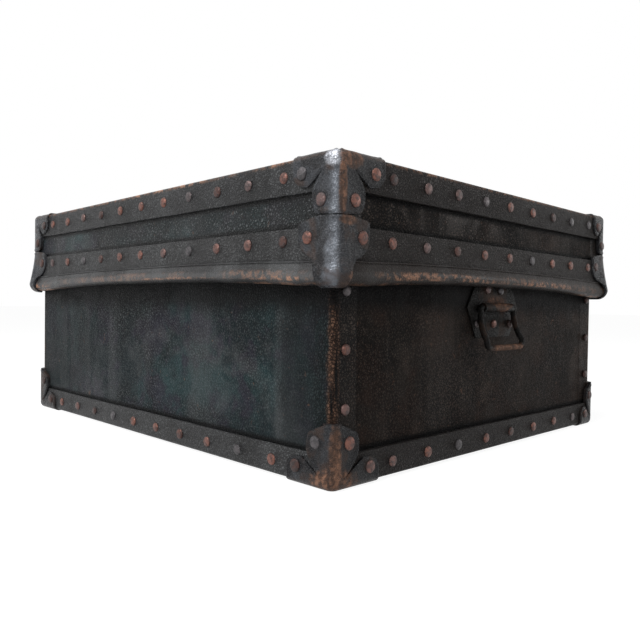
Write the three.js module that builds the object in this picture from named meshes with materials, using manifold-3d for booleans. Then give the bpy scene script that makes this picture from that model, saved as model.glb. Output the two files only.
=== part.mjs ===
// A riveted fibre travelling chest: a body tray with flanged long panels, a deep lift-off lid
// with a rolled rim, edge bindings, formed corner caps and a swinging bail handle on each end.
// Millimetres, +Z up. The origin is on the floor under the middle of the chest, X runs along
// the long sides, the front faces -Y and the right end faces +X.

import * as THREE from 'three';
import { mergeVertices } from 'three/addons/utils/BufferGeometryUtils.js';
import Module from 'manifold-3d';

// Driving dimensions of the carcase
const bodyLength = 652.4; // over the flanges on the two ends
const bodyWidth = 542.4; // over the two long panels
const carcaseHeight = 300; // underside of the bottom binding to the top of the lid binding
const panelThickness = 2.6; // fibre sheet of every wall
const flangeLength = 30; // how far a long panel is turned round onto the end
const bendInnerRadius = 4; // of a long panel where it turns onto the end
const seatGap = 0.2; // between two pieces that are riveted together
const lidRestGap = 0.3; // between the lid's top panel and the mouth it rests on
const lidRunningGap = 2.6; // between the mouth binding and the inside of the lid

// Edge bindings, one L strip along each edge
const bindingThickness = 2.4;
const bindingEdgeRadius = 3;
const bottomBindingHeight = 29.4;
const topBindingHeight = 32.7;

// Mouth binding, a channel over the top edge of the body
const mouthThickness = 1.6;
const mouthOuterDepth = 24;
const mouthInnerDepth = 12;

// Rim band of the lid, a flat strip that ends in a rolled bead
const lidDepth = 117; // top of the lid binding to the lowest point of the bead
const rimBandHeight = 52.8; // upper edge of the band to the lowest point of the bead
const beadHeight = 22.6;
const beadProud = 9; // crest of the bead in front of the panel
const lidPanelLift = 11; // lower edge of the lid panels above the lowest point of the bead
const rimBow = 6.2; // how far age has lifted the bead at mid span
const bowPower = 2.6; // how flat the lifted line is before it drops to the corners

// Formed corner caps
const capThickness = 2.4;
const rimCapRise = 9; // upper edge of a cap over the rim above the rim band
const topCap = {
  lobeDrop: 31,
  notchDrop: 18.5,
  notchShare: 0.36,
  legDrop: lidDepth - rimBandHeight - rimCapRise + capThickness, // down to the cap over the rim
  shoulderLift: 20, // shoulder, foot and rivet of the leg above its lower end
  footLift: 1.5,
  legRivetLift: 13,
  lobeToRow: 14.4, // end of a lobe to the first rivet of the row
  lobeRivetDrop: 18.6,
};
const bottomCap = {
  lobeDrop: 27.4,
  notchDrop: 13,
  notchShare: 0.3,
  legDrop: 62,
  shoulderLift: 24,
  footLift: 8.5,
  legRivetLift: 19,
  lobeToRow: 23.5,
  lobeRivetDrop: 17.3,
};
const leastLobeReach = 50; // of a lobe whose row is centred on its side
// Places along a face of a cap, as shares of the lobe's reach from the corner
const lobeFootShare = 0.66;
const lobeSquareShare = 0.45; // straight part of the lobe's end, as a share of its drop
const shoulderShare = 0.56;
const footShare = 0.42;
const legRivetShare = 0.35;
const lobeRivetInset = 13.4; // rivet short of the end of its lobe

// Cap over each corner of the rim
const rimCap = {
  longReach: 46, // ear on the long face, measured from the panel planes
  endReach: 37,
  longTongue: 19, // edge of the tongue that wraps the bead, on the long face
  endTongue: 6.8,
  cornerProud: 1.2, // crest of the cap at the corner, in front of its crest on the bead
  earRise: 4, // ends of the upper edge above the band
  rivetDrop: 9.8, // rivet below the upper edge of the band
};
// Outline of that cap below the ear, as shares of the reach and of the band's height
const rimRivetShare = 0.73;
const rimTopShare = 0.6;
const earLowShare = 0.2;
const earTurnShare = 0.38;
const waistShare = 0.67;
const waistDropShare = 0.52;
const tongueTurnShare = 0.62;
const tongueDropShare = 0.8;
const flareShare = 0.56; // how far from the corner its flare dies out, as a share of the reach
const flarePower = 1.5; // hollow of the flare from the upper edge down to the bead

// Rivet heads: diameter and height
const stripRivet = { diameter: 11, height: 2.4 };
const capRivet = { diameter: 12.6, height: 2.7 };
const flangeRivet = { diameter: 9.6, height: 2.2 };
const plateRivet = { diameter: 9.6, height: 2.8 };
const rivetSink = 0.9; // how deep a head is let into the strip that carries it
const rivetTopShare = 0.56; // flat top of a head as a share of its diameter
const rivetSides = 8;

// Rivet rows
const rowPitches = { frontLid: 53.4, endLid: 54.4, frontBottom: 54.6, endBottom: 57 };
const endRowShift = 11.5; // the hand-set rows on an end sit off its middle
const topRowDrop = 16.2; // row below the top of the lid binding
const bandRowDrop = 11.5; // row below the upper edge of the rim band
const bottomRowRise = 13.8; // row above the underside of the bottom binding
const flatRowInset = 16.2; // row on the level leg, from the face of the binding
const flangeRow = { pitch: 54, first: 70.9, inset: 15.6 };

// Handle: riveted plate with a rolled knuckle and a swinging bail
const plateThickness = 2;
const handleBelowRim = 17.2; // axis of the knuckle below the lowest point of the bead
const plateBottomDrop = 35;
const plateTopRise = 29;
const plateHalfWidth = 56; // at the knuckle
const plateEndHalfWidth = 38; // at its lower and upper edges
const plateArch = 1.3; // hollow of the lower edge
const plateRivets = { lowerHalfSpan: 36, lowerDrop: 19, upperHalfSpan: 14.2, upperRise: 20.4 };
const knuckleDiameter = 10.4;
const knuckleHalfLength = 32;
const knuckleRoot = 0.3; // how deep the roll merges with the plate
const bailDiameter = 6.8;
const bailClearance = 0.4; // all round the bail in the knuckle
const bailHalfWidth = 40; // outside, at the knuckle
const bailLowHalfWidth = 43; // outside, at the lower bar
const bailDrop = 46.5; // knuckle axis to the middle of the lower bar
const bailCornerRadius = 12;
const bailBow = 10.5; // how far the bar is bent away from the wall at its lowest
const bailEndGap = 1; // from the middle to each end of the bent bar
const backingThickness = 2;
const backingCornerRadius = 6;
const backingMargin = 8; // round the rivets

// How finely curves are divided
const bendSegments = 4;
const bindingEdgeSegments = 2;
const capEdgeSegments = 3;
const beadSegments = 4;
const bowSteps = 8;
const flareSteps = 4;
const roundSides = 12;
const barSides = 4; // on each half of the bar's section
const bailSteps = 34;
const ringSides = 16;

const overrun = 5; // cutters pass this far beyond what they cut
const capBlockShare = 3; // block that a cap is cut from, as a share of the cap's longest side
const weldLap = 0.05; // overlap that joins two stretches of one strip
const weldDistance = 1e-4;

// Sizes worked out from the driving dimensions
const bodyHalfLength = bodyLength / 2;
const bodyHalfWidth = bodyWidth / 2;
const bend = bendInnerRadius + panelThickness;
const endInset = panelThickness + seatGap; // end panel behind the flange
const lidStandOff = seatGap + mouthThickness + lidRunningGap + panelThickness;
const lidHalfWidth = bodyHalfWidth + lidStandOff;
const lidHalfLength = bodyHalfLength + lidStandOff + endInset;
const bindingFace = seatGap + bindingThickness; // face of a strip in front of its panel
const capFace = bindingFace + seatGap + capThickness; // face of a cap in front of the panel

const bindingUnderside = capThickness + seatGap;
const bodyPanelLow = bindingUnderside + bindingFace;
const lidBindingTop = bindingUnderside + carcaseHeight;
const lidPanelTop = lidBindingTop - bindingFace;
const mouthTop = lidPanelTop - panelThickness - lidRestGap;
const bodyPanelTop = mouthTop - mouthThickness - seatGap;
const beadLow = lidBindingTop - lidDepth;
const bandTop = beadLow + rimBandHeight;
const lidPanelLow = beadLow + lidPanelLift;
const rimCapTop = bandTop + rimCapRise;
const handleHeight = beadLow - handleBelowRim;
const beadInset = panelThickness / 2; // the bead is rolled round the middle of the panel

// Placing a flat outline in space: where its x, its y and its thickness point
const axisX = new THREE.Vector3(1, 0, 0);
const axisY = new THREE.Vector3(0, 1, 0);
const axisZ = new THREE.Vector3(0, 0, 1);
const minusX = axisX.clone().negate();
const minusY = axisY.clone().negate();
const minusZ = axisZ.clone().negate();

// As many rivets as fit at a pitch in a stretch with one at each end
function rivetRow(pitch, stretch) {
  return { count: Math.floor(stretch / pitch) + 1, pitch };
}

// Rivets of a strip between the lobes of the two caps that cover its ends
function stripRow(pitch, halfSize, cap) {
  return rivetRow(pitch, 2 * (halfSize + capFace - leastLobeReach - cap.lobeToRow));
}

const frontLidRow = stripRow(rowPitches.frontLid, lidHalfLength, topCap);
const endLidRow = stripRow(rowPitches.endLid, lidHalfWidth, topCap);
const frontBottomRow = stripRow(rowPitches.frontBottom, bodyHalfLength, bottomCap);
const endBottomRow = stripRow(rowPitches.endBottom, bodyHalfWidth, bottomCap);

const wasm = await Module();
wasm.setup();

// A closed geometry as a solid that can be joined and cut
function solidOf(geometry) {
  const bare = new THREE.BufferGeometry();
  bare.setAttribute('position', geometry.getAttribute('position'));
  bare.setIndex(geometry.getIndex());
  const welded = mergeVertices(bare, weldDistance);
  const index = welded.getIndex().array;
  const corners = [];
  for (let i = 0; i < index.length; i += 3) {
    const [a, b, c] = [index[i], index[i + 1], index[i + 2]];
    if (a !== b && b !== c && c !== a) corners.push(a, b, c);
  }
  const positions = new Float32Array(welded.getAttribute('position').array);
  return new wasm.Manifold(
    new wasm.Mesh({ numProp: 3, vertProperties: positions, triVerts: new Uint32Array(corners) }),
  );
}

function geometryOf(solid) {
  const mesh = solid.getMesh();
  const geometry = new THREE.BufferGeometry();
  const positions = new Float32Array(mesh.vertProperties);
  geometry.setAttribute('position', new THREE.BufferAttribute(positions, 3));
  geometry.setIndex(new THREE.BufferAttribute(new Uint32Array(mesh.triVerts), 1));
  geometry.computeVertexNormals();
  return geometry;
}

function mirroredAcrossY(geometry) {
  const mirrored = geometry.clone().scale(1, -1, 1);
  const index = mirrored.getIndex().array;
  for (let i = 0; i < index.length; i += 3) {
    [index[i], index[i + 1]] = [index[i + 1], index[i]];
  }
  mirrored.computeVertexNormals();
  return mirrored;
}

// Flat outline given a thickness along +Z
function thick(shape, depth, steps = 1, curveSegments = bendSegments) {
  return new THREE.ExtrudeGeometry(shape, { depth, steps, curveSegments, bevelEnabled: false });
}

// Turns x, y and thickness of a geometry into three given directions, from a given origin
function turned(geometry, xTo, yTo, zTo, x, y, z) {
  const matrix = new THREE.Matrix4().makeBasis(xTo, yTo, zTo).setPosition(x, y, z);
  return geometry.applyMatrix4(matrix);
}

// Section of a strip, outward and up, run along Y at the given distance from the middle
function runAlongY(section, distance, halfRun, steps = 1, curveSegments = bendSegments) {
  const geometry = thick(section, 2 * halfRun, steps, curveSegments);
  return turned(geometry, axisX, axisZ, minusY, distance, halfRun, 0);
}

function boxBetween(xLow, xHigh, yLow, yHigh, zLow, zHigh) {
  const box = new THREE.BoxGeometry(xHigh - xLow, yHigh - yLow, zHigh - zLow);
  return box.translate((xLow + xHigh) / 2, (yLow + yHigh) / 2, (zLow + zHigh) / 2);
}

function roundedRectangle(halfX, halfY, radius) {
  const shape = new THREE.Shape();
  shape.absarc(halfX - radius, halfY - radius, radius, 0, Math.PI / 2);
  shape.absarc(-halfX + radius, halfY - radius, radius, Math.PI / 2, Math.PI);
  shape.absarc(-halfX + radius, -halfY + radius, radius, Math.PI, 1.5 * Math.PI);
  shape.absarc(halfX - radius, -halfY + radius, radius, 1.5 * Math.PI, 2 * Math.PI);
  shape.closePath();
  return shape;
}

function polygon(points) {
  return new THREE.Shape(points.map(([x, y]) => new THREE.Vector2(x, y)));
}

// Low rivet head on the plane z = 0, with a short stem below the plane
function rivetHead({ diameter, height }) {
  const radius = diameter / 2;
  const topRadius = radius * rivetTopShare;
  const profile = [
    new THREE.Vector2(0, -rivetSink),
    new THREE.Vector2(radius, -rivetSink),
    new THREE.Vector2(radius, 0),
    new THREE.Vector2(topRadius, height),
    new THREE.Vector2(0, height),
  ];
  return new THREE.LatheGeometry(profile, rivetSides).rotateX(Math.PI / 2);
}

// Rivet heads looking along +X at a list of [y, z] places on the plane x
function withRivetsOnX(solid, rivet, x, places) {
  return places.reduce((joined, [y, z]) => {
    const head = rivetHead(rivet).rotateY(Math.PI / 2).translate(x, y, z);
    return joined.add(solidOf(head));
  }, solid);
}

// Rivet heads looking along +Y at a list of [x, z] places on the plane y
function withRivetsOnY(solid, rivet, y, places) {
  return places.reduce((joined, [x, z]) => {
    const head = rivetHead(rivet).rotateX(-Math.PI / 2).translate(x, y, z);
    return joined.add(solidOf(head));
  }, solid);
}

// Rivet heads looking up at a list of [x, y] places on the plane z
function withRivetsOnZ(solid, rivet, z, places) {
  return places.reduce((joined, [x, y]) => {
    const head = rivetHead(rivet).translate(x, y, z);
    return joined.add(solidOf(head));
  }, solid);
}

// Places of a row along Y, centred and then shifted
function rowPlaces({ count, pitch }, shift = 0) {
  return Array.from({ length: count }, (_, i) => shift + (i - (count - 1) / 2) * pitch);
}

// Long panel with its two flanges, seen from above, bent at both corners
function longPanel(halfLength, halfWidth, low, high) {
  const flangeEnd = halfWidth - flangeLength;
  const shape = new THREE.Shape();
  shape.moveTo(-halfLength, -flangeEnd);
  shape.absarc(-halfLength + bend, -halfWidth + bend, bend, Math.PI, 1.5 * Math.PI);
  shape.absarc(halfLength - bend, -halfWidth + bend, bend, 1.5 * Math.PI, 2 * Math.PI);
  shape.lineTo(halfLength, -flangeEnd);
  shape.lineTo(halfLength - panelThickness, -flangeEnd);
  shape.absarc(halfLength - bend, -halfWidth + bend, bendInnerRadius, 2 * Math.PI, 1.5 * Math.PI, true);
  shape.absarc(-halfLength + bend, -halfWidth + bend, bendInnerRadius, 1.5 * Math.PI, Math.PI, true);
  shape.lineTo(-halfLength + panelThickness, -flangeEnd);
  shape.closePath();
  return thick(shape, high - low).translate(0, 0, low);
}

// Front panel of the body, with the rivets that hold its flanges to the ends
function bodyLongPanel() {
  const panel = solidOf(longPanel(bodyHalfLength, bodyHalfWidth, bodyPanelLow, bodyPanelTop));
  const low = bindingUnderside + flangeRow.first;
  const high = mouthTop - mouthOuterDepth - flangeRivet.diameter / 2;
  const { count, pitch } = rivetRow(flangeRow.pitch, high - low);
  const heights = Array.from({ length: count }, (_, i) => low + i * pitch);
  const row = -bodyHalfWidth + flangeRow.inset;
  const onRight = heights.map((z) => [row, z]);
  const solid = withRivetsOnX(panel, flangeRivet, bodyHalfLength, onRight);
  const onLeft = heights.map((z) => {
    const head = rivetHead(flangeRivet).rotateY(-Math.PI / 2);
    return solidOf(head.translate(-bodyHalfLength, row, z));
  });
  return geometryOf(onLeft.reduce((joined, head) => joined.add(head), solid));
}

function lidLongPanel() {
  return longPanel(lidHalfLength, lidHalfWidth, lidPanelLow, lidPanelTop);
}

// End panel behind the flanges, its upright edges rounded to sit inside the bends
function endPanel(halfLength, halfWidth, low, high) {
  const face = halfLength - endInset;
  const halfSpan = halfWidth - endInset;
  const slab = solidOf(boxBetween(face - panelThickness, face, -halfSpan, halfSpan, low, high));
  const outline = roundedRectangle(face, halfSpan, bendInnerRadius - seatGap);
  const inside = solidOf(thick(outline, high - low + 2 * overrun).translate(0, 0, low - overrun));
  return geometryOf(slab.intersect(inside));
}

// Level panel that closes the body or the lid, let in between the four walls
function levelPanel(halfLength, halfWidth, low) {
  const halfX = halfLength - 2 * endInset;
  const outline = roundedRectangle(halfX, halfWidth - endInset, bendInnerRadius);
  return thick(outline, panelThickness).translate(0, 0, low);
}

// L section of an edge binding: outward from the panel plane, up from the binding's own top
function bindingSection(height, backDepth) {
  const radius = bindingEdgeRadius;
  const shape = new THREE.Shape();
  shape.moveTo(seatGap - backDepth, -height);
  shape.lineTo(bindingFace, -height);
  shape.lineTo(bindingFace, -radius);
  shape.absarc(bindingFace - radius, -radius, radius, 0, Math.PI / 2);
  shape.lineTo(-backDepth - flangeLength, 0);
  shape.lineTo(-backDepth - flangeLength, -bindingThickness);
  shape.lineTo(seatGap - backDepth, -bindingThickness);
  shape.closePath();
  return shape;
}

// Plain run of a strip on a long side, outward = +X
function longRun(section, distance, halfLength) {
  return solidOf(runAlongY(section, distance, halfLength - bend, 1, bindingEdgeSegments));
}

// Takes away what is behind a strip where it crosses the two flanges on an end
function steppedOverFlanges(solid, distance, halfWidth, low, high) {
  const flangeFrom = halfWidth - flangeLength - seatGap;
  const back = distance - endInset - flangeLength - overrun;
  const behind = (from, to) => solidOf(boxBetween(back, distance + seatGap, from, to, low, high));
  return solid.subtract(behind(flangeFrom, halfWidth)).subtract(behind(-halfWidth, -flangeFrom));
}

// Run of a binding on an end: it fills the step between the flanges and lies over them
function endRun(section, distance, halfWidth) {
  const reach = topBindingHeight + bottomBindingHeight;
  const run = solidOf(runAlongY(section, distance, halfWidth - bend, 1, bindingEdgeSegments));
  return steppedOverFlanges(run, distance, halfWidth, -reach, reach);
}

// Binding along one upper edge with a rivet row on each leg, outward = +X
function topBinding(run, distance, row, shift) {
  const places = rowPlaces(row, shift);
  const rowInset = distance + bindingFace - flatRowInset;
  const placed = solidOf(geometryOf(run).translate(0, 0, lidBindingTop));
  const onFace = places.map((y) => [y, lidBindingTop - topRowDrop]);
  const solid = withRivetsOnX(placed, stripRivet, distance + bindingFace, onFace);
  const onTop = places.map((y) => [rowInset, y]);
  return geometryOf(withRivetsOnZ(solid, stripRivet, lidBindingTop, onTop));
}

// Binding along one lower edge, built as an upper one and turned over, with one rivet row
function bottomBinding(run, distance, row, shift) {
  const turnedOver = geometryOf(run).rotateX(Math.PI).translate(0, 0, bindingUnderside);
  const places = rowPlaces(row, shift).map((y) => [y, bindingUnderside + bottomRowRise]);
  return geometryOf(withRivetsOnX(solidOf(turnedOver), stripRivet, distance + bindingFace, places));
}

// Channel over the top edge of one wall of the body
function mouthBinding(distance, halfRun) {
  const outer = seatGap + mouthThickness;
  const innerFace = -panelThickness - seatGap;
  const underTop = mouthTop - mouthThickness;
  const section = polygon([
    [seatGap, mouthTop - mouthOuterDepth],
    [outer, mouthTop - mouthOuterDepth],
    [outer, mouthTop],
    [innerFace - mouthThickness, mouthTop],
    [innerFace - mouthThickness, mouthTop - mouthInnerDepth],
    [innerFace, mouthTop - mouthInnerDepth],
    [innerFace, underTop],
    [seatGap, underTop],
  ]);
  return runAlongY(section, distance, halfRun);
}

// The bead's outline as half axes of an ellipse, grown outwards for a cap that covers it
function beadAxes(growth) {
  return { out: beadProud + beadInset + growth, up: beadHeight / 2 + growth };
}

const beadCentre = beadLow + beadHeight / 2;

// Section of the rim band, outward from the panel plane and up from the floor
function bandSection(backDepth) {
  const { out, up } = beadAxes(0);
  const meet = Math.acos((bindingFace + beadInset) / out);
  const shape = new THREE.Shape();
  shape.moveTo(-backDepth, beadLow);
  shape.lineTo(-beadInset, beadLow);
  shape.absellipse(-beadInset, beadCentre, out, up, -Math.PI / 2, meet, false);
  shape.lineTo(bindingFace, bandTop);
  shape.lineTo(-backDepth, bandTop);
  shape.closePath();
  return shape;
}

// Straight run of a band whose lower part is lifted between the two caps on its ends
function bowedRun(section, distance, halfRun, straight) {
  const geometry = runAlongY(section, distance, halfRun, bowSteps, beadSegments);
  const position = geometry.getAttribute('position');
  const freeHalf = halfRun - straight;
  const stepLength = 2 * halfRun / bowSteps;
  const lastInner = halfRun - stepLength;
  for (let i = 0; i < position.count; i += 1) {
    const y = position.getY(i);
    const inner = Math.abs(y) < halfRun - stepLength / 2;
    const spanShare = Math.abs(y) / lastInner;
    const depthShare = (bandTop - position.getZ(i)) / rimBandHeight;
    if (inner) {
      position.setY(i, y * freeHalf / lastInner);
      position.setZ(i, position.getZ(i) + rimBow * depthShare * (1 - spanShare ** bowPower));
    }
  }
  return geometry;
}

// One quarter turn of an outline round a corner, in the +X, +Y quarter of its own axis; the
// outline is measured from the panel plane, which is turned at the bend's radius
function quarterTurn(outline, lapX, lapY) {
  const points = outline.map((point) => new THREE.Vector2(bend + point.x, point.y));
  points.push(points[0].clone());
  const ring = solidOf(new THREE.LatheGeometry(points, ringSides).rotateX(Math.PI / 2));
  const reach = bend + beadProud + capFace + overrun;
  const quarter = boxBetween(-lapX, reach, -lapY, reach, beadLow - overrun, rimCapTop + overrun);
  return ring.intersect(solidOf(quarter));
}

// Rim band of a long side, outward = +X, carried round both corners
function longRimBand() {
  const halfRun = lidHalfLength - bend;
  const run = bowedRun(bandSection(panelThickness), lidHalfWidth, halfRun, rimCap.longReach - bend);
  const overPanel = boxBetween(
    lidHalfWidth - bend - overrun, lidHalfWidth + seatGap,
    -halfRun, halfRun, lidPanelLow - seatGap, bandTop + overrun,
  );
  let solid = solidOf(run).subtract(solidOf(overPanel));
  const outline = bandSection(panelThickness).extractPoints(beadSegments).shape;
  const corner = quarterTurn(outline, 0, weldLap);
  const coreHeight = bandTop + overrun - (lidPanelLow - seatGap);
  const core = new THREE.CylinderGeometry(bend + seatGap, bend + seatGap, coreHeight, ringSides);
  core.rotateX(Math.PI / 2).translate(0, 0, lidPanelLow - seatGap + coreHeight / 2);
  const turn = geometryOf(corner.subtract(solidOf(core)));
  turn.translate(lidHalfWidth - bend, halfRun, 0);
  solid = solid.add(solidOf(turn)).add(solidOf(mirroredAcrossY(turn)));
  const height = bandTop - bandRowDrop;
  const places = rowPlaces(frontLidRow).map((y) => [y, height]);
  return geometryOf(withRivetsOnX(solid, stripRivet, lidHalfWidth + bindingFace, places));
}

// Rim band of an end: its back fills the step between the two flanges
function endRimBand() {
  const halfRun = lidHalfWidth - bend - seatGap;
  const backDepth = endInset + panelThickness;
  const run = bowedRun(bandSection(backDepth), lidHalfLength, halfRun, rimCap.endReach - bend);
  const low = lidPanelLow - seatGap;
  const high = bandTop + overrun;
  const overEndPanel = boxBetween(
    lidHalfLength - backDepth - overrun, lidHalfLength - panelThickness,
    -lidHalfWidth, lidHalfWidth, low, high,
  );
  const solid = solidOf(run).subtract(solidOf(overEndPanel));
  const stepped = steppedOverFlanges(solid, lidHalfLength, lidHalfWidth, low, high);
  const places = rowPlaces(endLidRow, endRowShift).map((y) => [y, bandTop - bandRowDrop]);
  return geometryOf(withRivetsOnX(stepped, stripRivet, lidHalfLength + bindingFace, places));
}

// Block with rounded upright and level edges, its +X +Y +Z corner at the origin
function cornerBlock(size, inset, uprightRadius, edgeRadius) {
  const half = size / 2;
  const block = new THREE.ExtrudeGeometry(roundedRectangle(half, half, uprightRadius), {
    depth: size - 2 * edgeRadius,
    curveSegments: bendSegments,
    bevelThickness: edgeRadius,
    bevelSize: edgeRadius,
    bevelOffset: -edgeRadius,
    bevelSegments: capEdgeSegments,
  });
  return block.translate(-half - inset, -half - inset, edgeRadius - size - inset);
}

// Outline of a cap on one upright face, inward from the corner and away from the level face
function lobedOutline(cap, reach) {
  const notch = cap.notchShare * reach;
  const shoulder = shoulderShare * reach;
  const footDrop = cap.legDrop - cap.footLift;
  const shape = new THREE.Shape();
  shape.moveTo(-overrun, -overrun);
  shape.lineTo(reach, -overrun);
  shape.lineTo(reach, lobeSquareShare * cap.lobeDrop);
  shape.quadraticCurveTo(reach, cap.lobeDrop, lobeFootShare * reach, cap.lobeDrop);
  shape.lineTo(notch, cap.notchDrop);
  shape.lineTo(shoulder, cap.legDrop - cap.shoulderLift);
  shape.quadraticCurveTo(shoulder, footDrop, footShare * reach, footDrop);
  shape.quadraticCurveTo(footShare * reach / 2, cap.legDrop, -overrun, cap.legDrop);
  shape.closePath();
  return shape;
}

// One lobe of a cap on the level face, run along the first axis
function levelLobe(cap, reach) {
  const width = cap.lobeDrop;
  const shape = new THREE.Shape();
  shape.moveTo(-overrun, -overrun);
  shape.lineTo(reach, -overrun);
  shape.lineTo(reach, lobeSquareShare * width);
  shape.quadraticCurveTo(reach, width, lobeFootShare * reach, width);
  shape.lineTo(cap.notchDrop, cap.notchDrop);
  shape.closePath();
  return shape;
}

// Formed three-lobed cap in a frame with its outer corner at the origin and all of it inwards;
// it lies on the bindings and, below them, on the panels
function formedCap(cap, bindingHeight, longReach, endReach, levelRivets) {
  const size = capBlockShare * Math.max(longReach, endReach, cap.legDrop);
  const innerBend = bend + seatGap;
  const innerEdge = bindingEdgeRadius + seatGap;
  const outer = solidOf(cornerBlock(size, 0, innerBend + capThickness, innerEdge + capThickness));
  const inner = solidOf(cornerBlock(size, capThickness, innerBend, innerEdge));
  const bindingEnd = capThickness + 2 * seatGap + bindingHeight;
  const onBindings = solidOf(boxBetween(-size, overrun, -size, overrun, -bindingEnd, overrun));
  const panels = solidOf(cornerBlock(size, capThickness + bindingFace, innerBend, innerEdge));
  const skin = outer.subtract(inner.intersect(onBindings)).subtract(panels);
  const depth = innerBend + capFace;
  const prism = (outline, ...placing) => solidOf(turned(thick(outline, depth + overrun), ...placing));
  const onLong = prism(lobedOutline(cap, longReach), minusX, minusZ, minusY, 0, overrun, 0);
  const onEnd = prism(lobedOutline(cap, endReach), minusY, minusZ, axisX, -depth, 0, 0);
  const alongX = prism(levelLobe(cap, longReach), minusX, minusY, axisZ, 0, 0, -depth);
  const alongY = prism(levelLobe(cap, endReach), minusY, minusX, minusZ, 0, 0, overrun);
  let solid = skin.intersect(onLong.add(onEnd).add(alongX).add(alongY));
  const facePlaces = (reach) => [
    [lobeRivetInset - reach, -cap.lobeRivetDrop],
    [-legRivetShare * reach, cap.legRivetLift - cap.legDrop],
  ];
  solid = withRivetsOnY(solid, capRivet, 0, facePlaces(longReach));
  solid = withRivetsOnX(solid, capRivet, 0, facePlaces(endReach));
  if (levelRivets) {
    solid = withRivetsOnZ(solid, capRivet, 0, [
      [lobeRivetInset - longReach, -cap.lobeRivetDrop],
      [-cap.lobeRivetDrop, lobeRivetInset - endReach],
    ]);
  }
  return geometryOf(solid);
}

// Face of the cap over the rim at a height: flat on the band and round over the bead
function rimCapFlat(z) {
  const { out, up } = beadAxes(seatGap + capThickness);
  const rise = (z - beadCentre) / up;
  const onBead = out * Math.sqrt(Math.max(1 - rise * rise, 0)) - beadInset;
  return z > beadCentre ? Math.max(onBead, capFace) : onBead;
}

// Face of the same cap at the corner itself, where it flares from its upper edge to the bead
function rimCapFlared(z) {
  const crest = rimCapFlat(beadCentre) + rimCap.cornerProud;
  const share = (rimCapTop - z) / (rimCapTop - beadCentre);
  return capFace + (crest - capFace) * share ** flarePower;
}

// Outline of the cap's section over the rim, its face flared, its back on the band and bead
function rimCapSection() {
  const inner = beadAxes(seatGap);
  const outer = beadAxes(seatGap + capThickness);
  const innerFace = bindingFace + seatGap;
  const innerMeet = Math.acos((innerFace + beadInset) / inner.out);
  const crest = outer.out + rimCap.cornerProud;
  const shape = new THREE.Shape();
  shape.moveTo(-beadInset, beadCentre - outer.up);
  shape.absellipse(-beadInset, beadCentre, crest, outer.up, -Math.PI / 2, 0, false);
  for (let step = 1; step <= flareSteps; step += 1) {
    const z = beadCentre + (rimCapTop - beadCentre) * step / flareSteps;
    shape.lineTo(rimCapFlared(z), z);
  }
  shape.lineTo(seatGap, rimCapTop);
  shape.lineTo(seatGap, bandTop + seatGap);
  shape.lineTo(innerFace, bandTop + seatGap);
  shape.absellipse(-beadInset, beadCentre, inner.out, inner.up, innerMeet, -Math.PI / 2, true);
  shape.closePath();
  return shape;
}

// Wing of the cap from the corner onto one face, outward = +X and inward along -Y: its flare
// dies out along it
function rimCapWing(reach) {
  const length = reach + overrun - bend;
  const wing = runAlongY(rimCapSection(), 0, length / 2, flareSteps, beadSegments);
  const position = wing.getAttribute('position');
  const fade = flareShare * reach;
  for (let i = 0; i < position.count; i += 1) {
    const z = position.getZ(i);
    const away = length / 2 - position.getY(i);
    const left = Math.max(1 - away / fade, 0) ** 2;
    if (z > beadCentre && Math.abs(position.getX(i) - rimCapFlared(z)) < weldDistance) {
      position.setX(i, rimCapFlat(z) + (rimCapFlared(z) - rimCapFlat(z)) * left);
    }
  }
  return wing.translate(0, -bend - length / 2, 0);
}

// Outline of the cap over the rim on one face, inward and down from the band's upper edge:
// an ear, a waist and the tongue that wraps the bead
function rimCapOutline(reach, tongue) {
  const low = rimBandHeight + capThickness + overrun;
  const proud = beadProud + capFace + overrun;
  const rise = rimCapTop - bandTop;
  const waist = reach * waistShare;
  const waistDrop = rimBandHeight * waistDropShare;
  const turnDrop = rimBandHeight * tongueTurnShare;
  const shape = new THREE.Shape();
  shape.moveTo(-proud, -rise);
  shape.lineTo(0, -rise);
  shape.quadraticCurveTo(reach * rimTopShare, -rise, reach, -rimCap.earRise);
  shape.lineTo(reach, rimBandHeight * earLowShare);
  shape.quadraticCurveTo(reach, rimBandHeight * earTurnShare, waist, waistDrop);
  shape.quadraticCurveTo(tongue, turnDrop, tongue, rimBandHeight * tongueDropShare);
  shape.lineTo(tongue, low);
  shape.lineTo(-proud, low);
  shape.closePath();
  return shape;
}

// Cap over one corner of the rim, the panel planes' corner at the origin and the floor at z = 0
function rimCornerCap() {
  const { longReach, longTongue, endReach, endTongue } = rimCap;
  const outline = rimCapSection().extractPoints(beadSegments).shape;
  const corner = geometryOf(quarterTurn(outline, weldLap, weldLap)).translate(-bend, -bend, 0);
  const longWing = geometryOf(solidOf(rimCapWing(longReach)));
  const onLongFace = mirroredAcrossY(longWing).rotateZ(Math.PI / 2);
  const skin = solidOf(corner).add(solidOf(rimCapWing(endReach))).add(solidOf(onLongFace));
  const ahead = beadProud + capFace + overrun;
  const longShape = thick(rimCapOutline(longReach, longTongue), ahead + endTongue);
  const endShape = thick(rimCapOutline(endReach, endTongue), ahead + longTongue);
  const onLong = turned(longShape, minusX, minusZ, minusY, 0, ahead, bandTop);
  const onEnd = turned(endShape, minusY, minusZ, axisX, -longTongue, 0, bandTop);
  let solid = skin.intersect(solidOf(onLong).add(solidOf(onEnd)));
  const height = bandTop - rimCap.rivetDrop;
  solid = withRivetsOnY(solid, capRivet, capFace, [[-rimRivetShare * longReach, height]]);
  solid = withRivetsOnX(solid, capRivet, capFace, [[-rimRivetShare * endReach, height]]);
  return geometryOf(solid);
}

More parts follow.
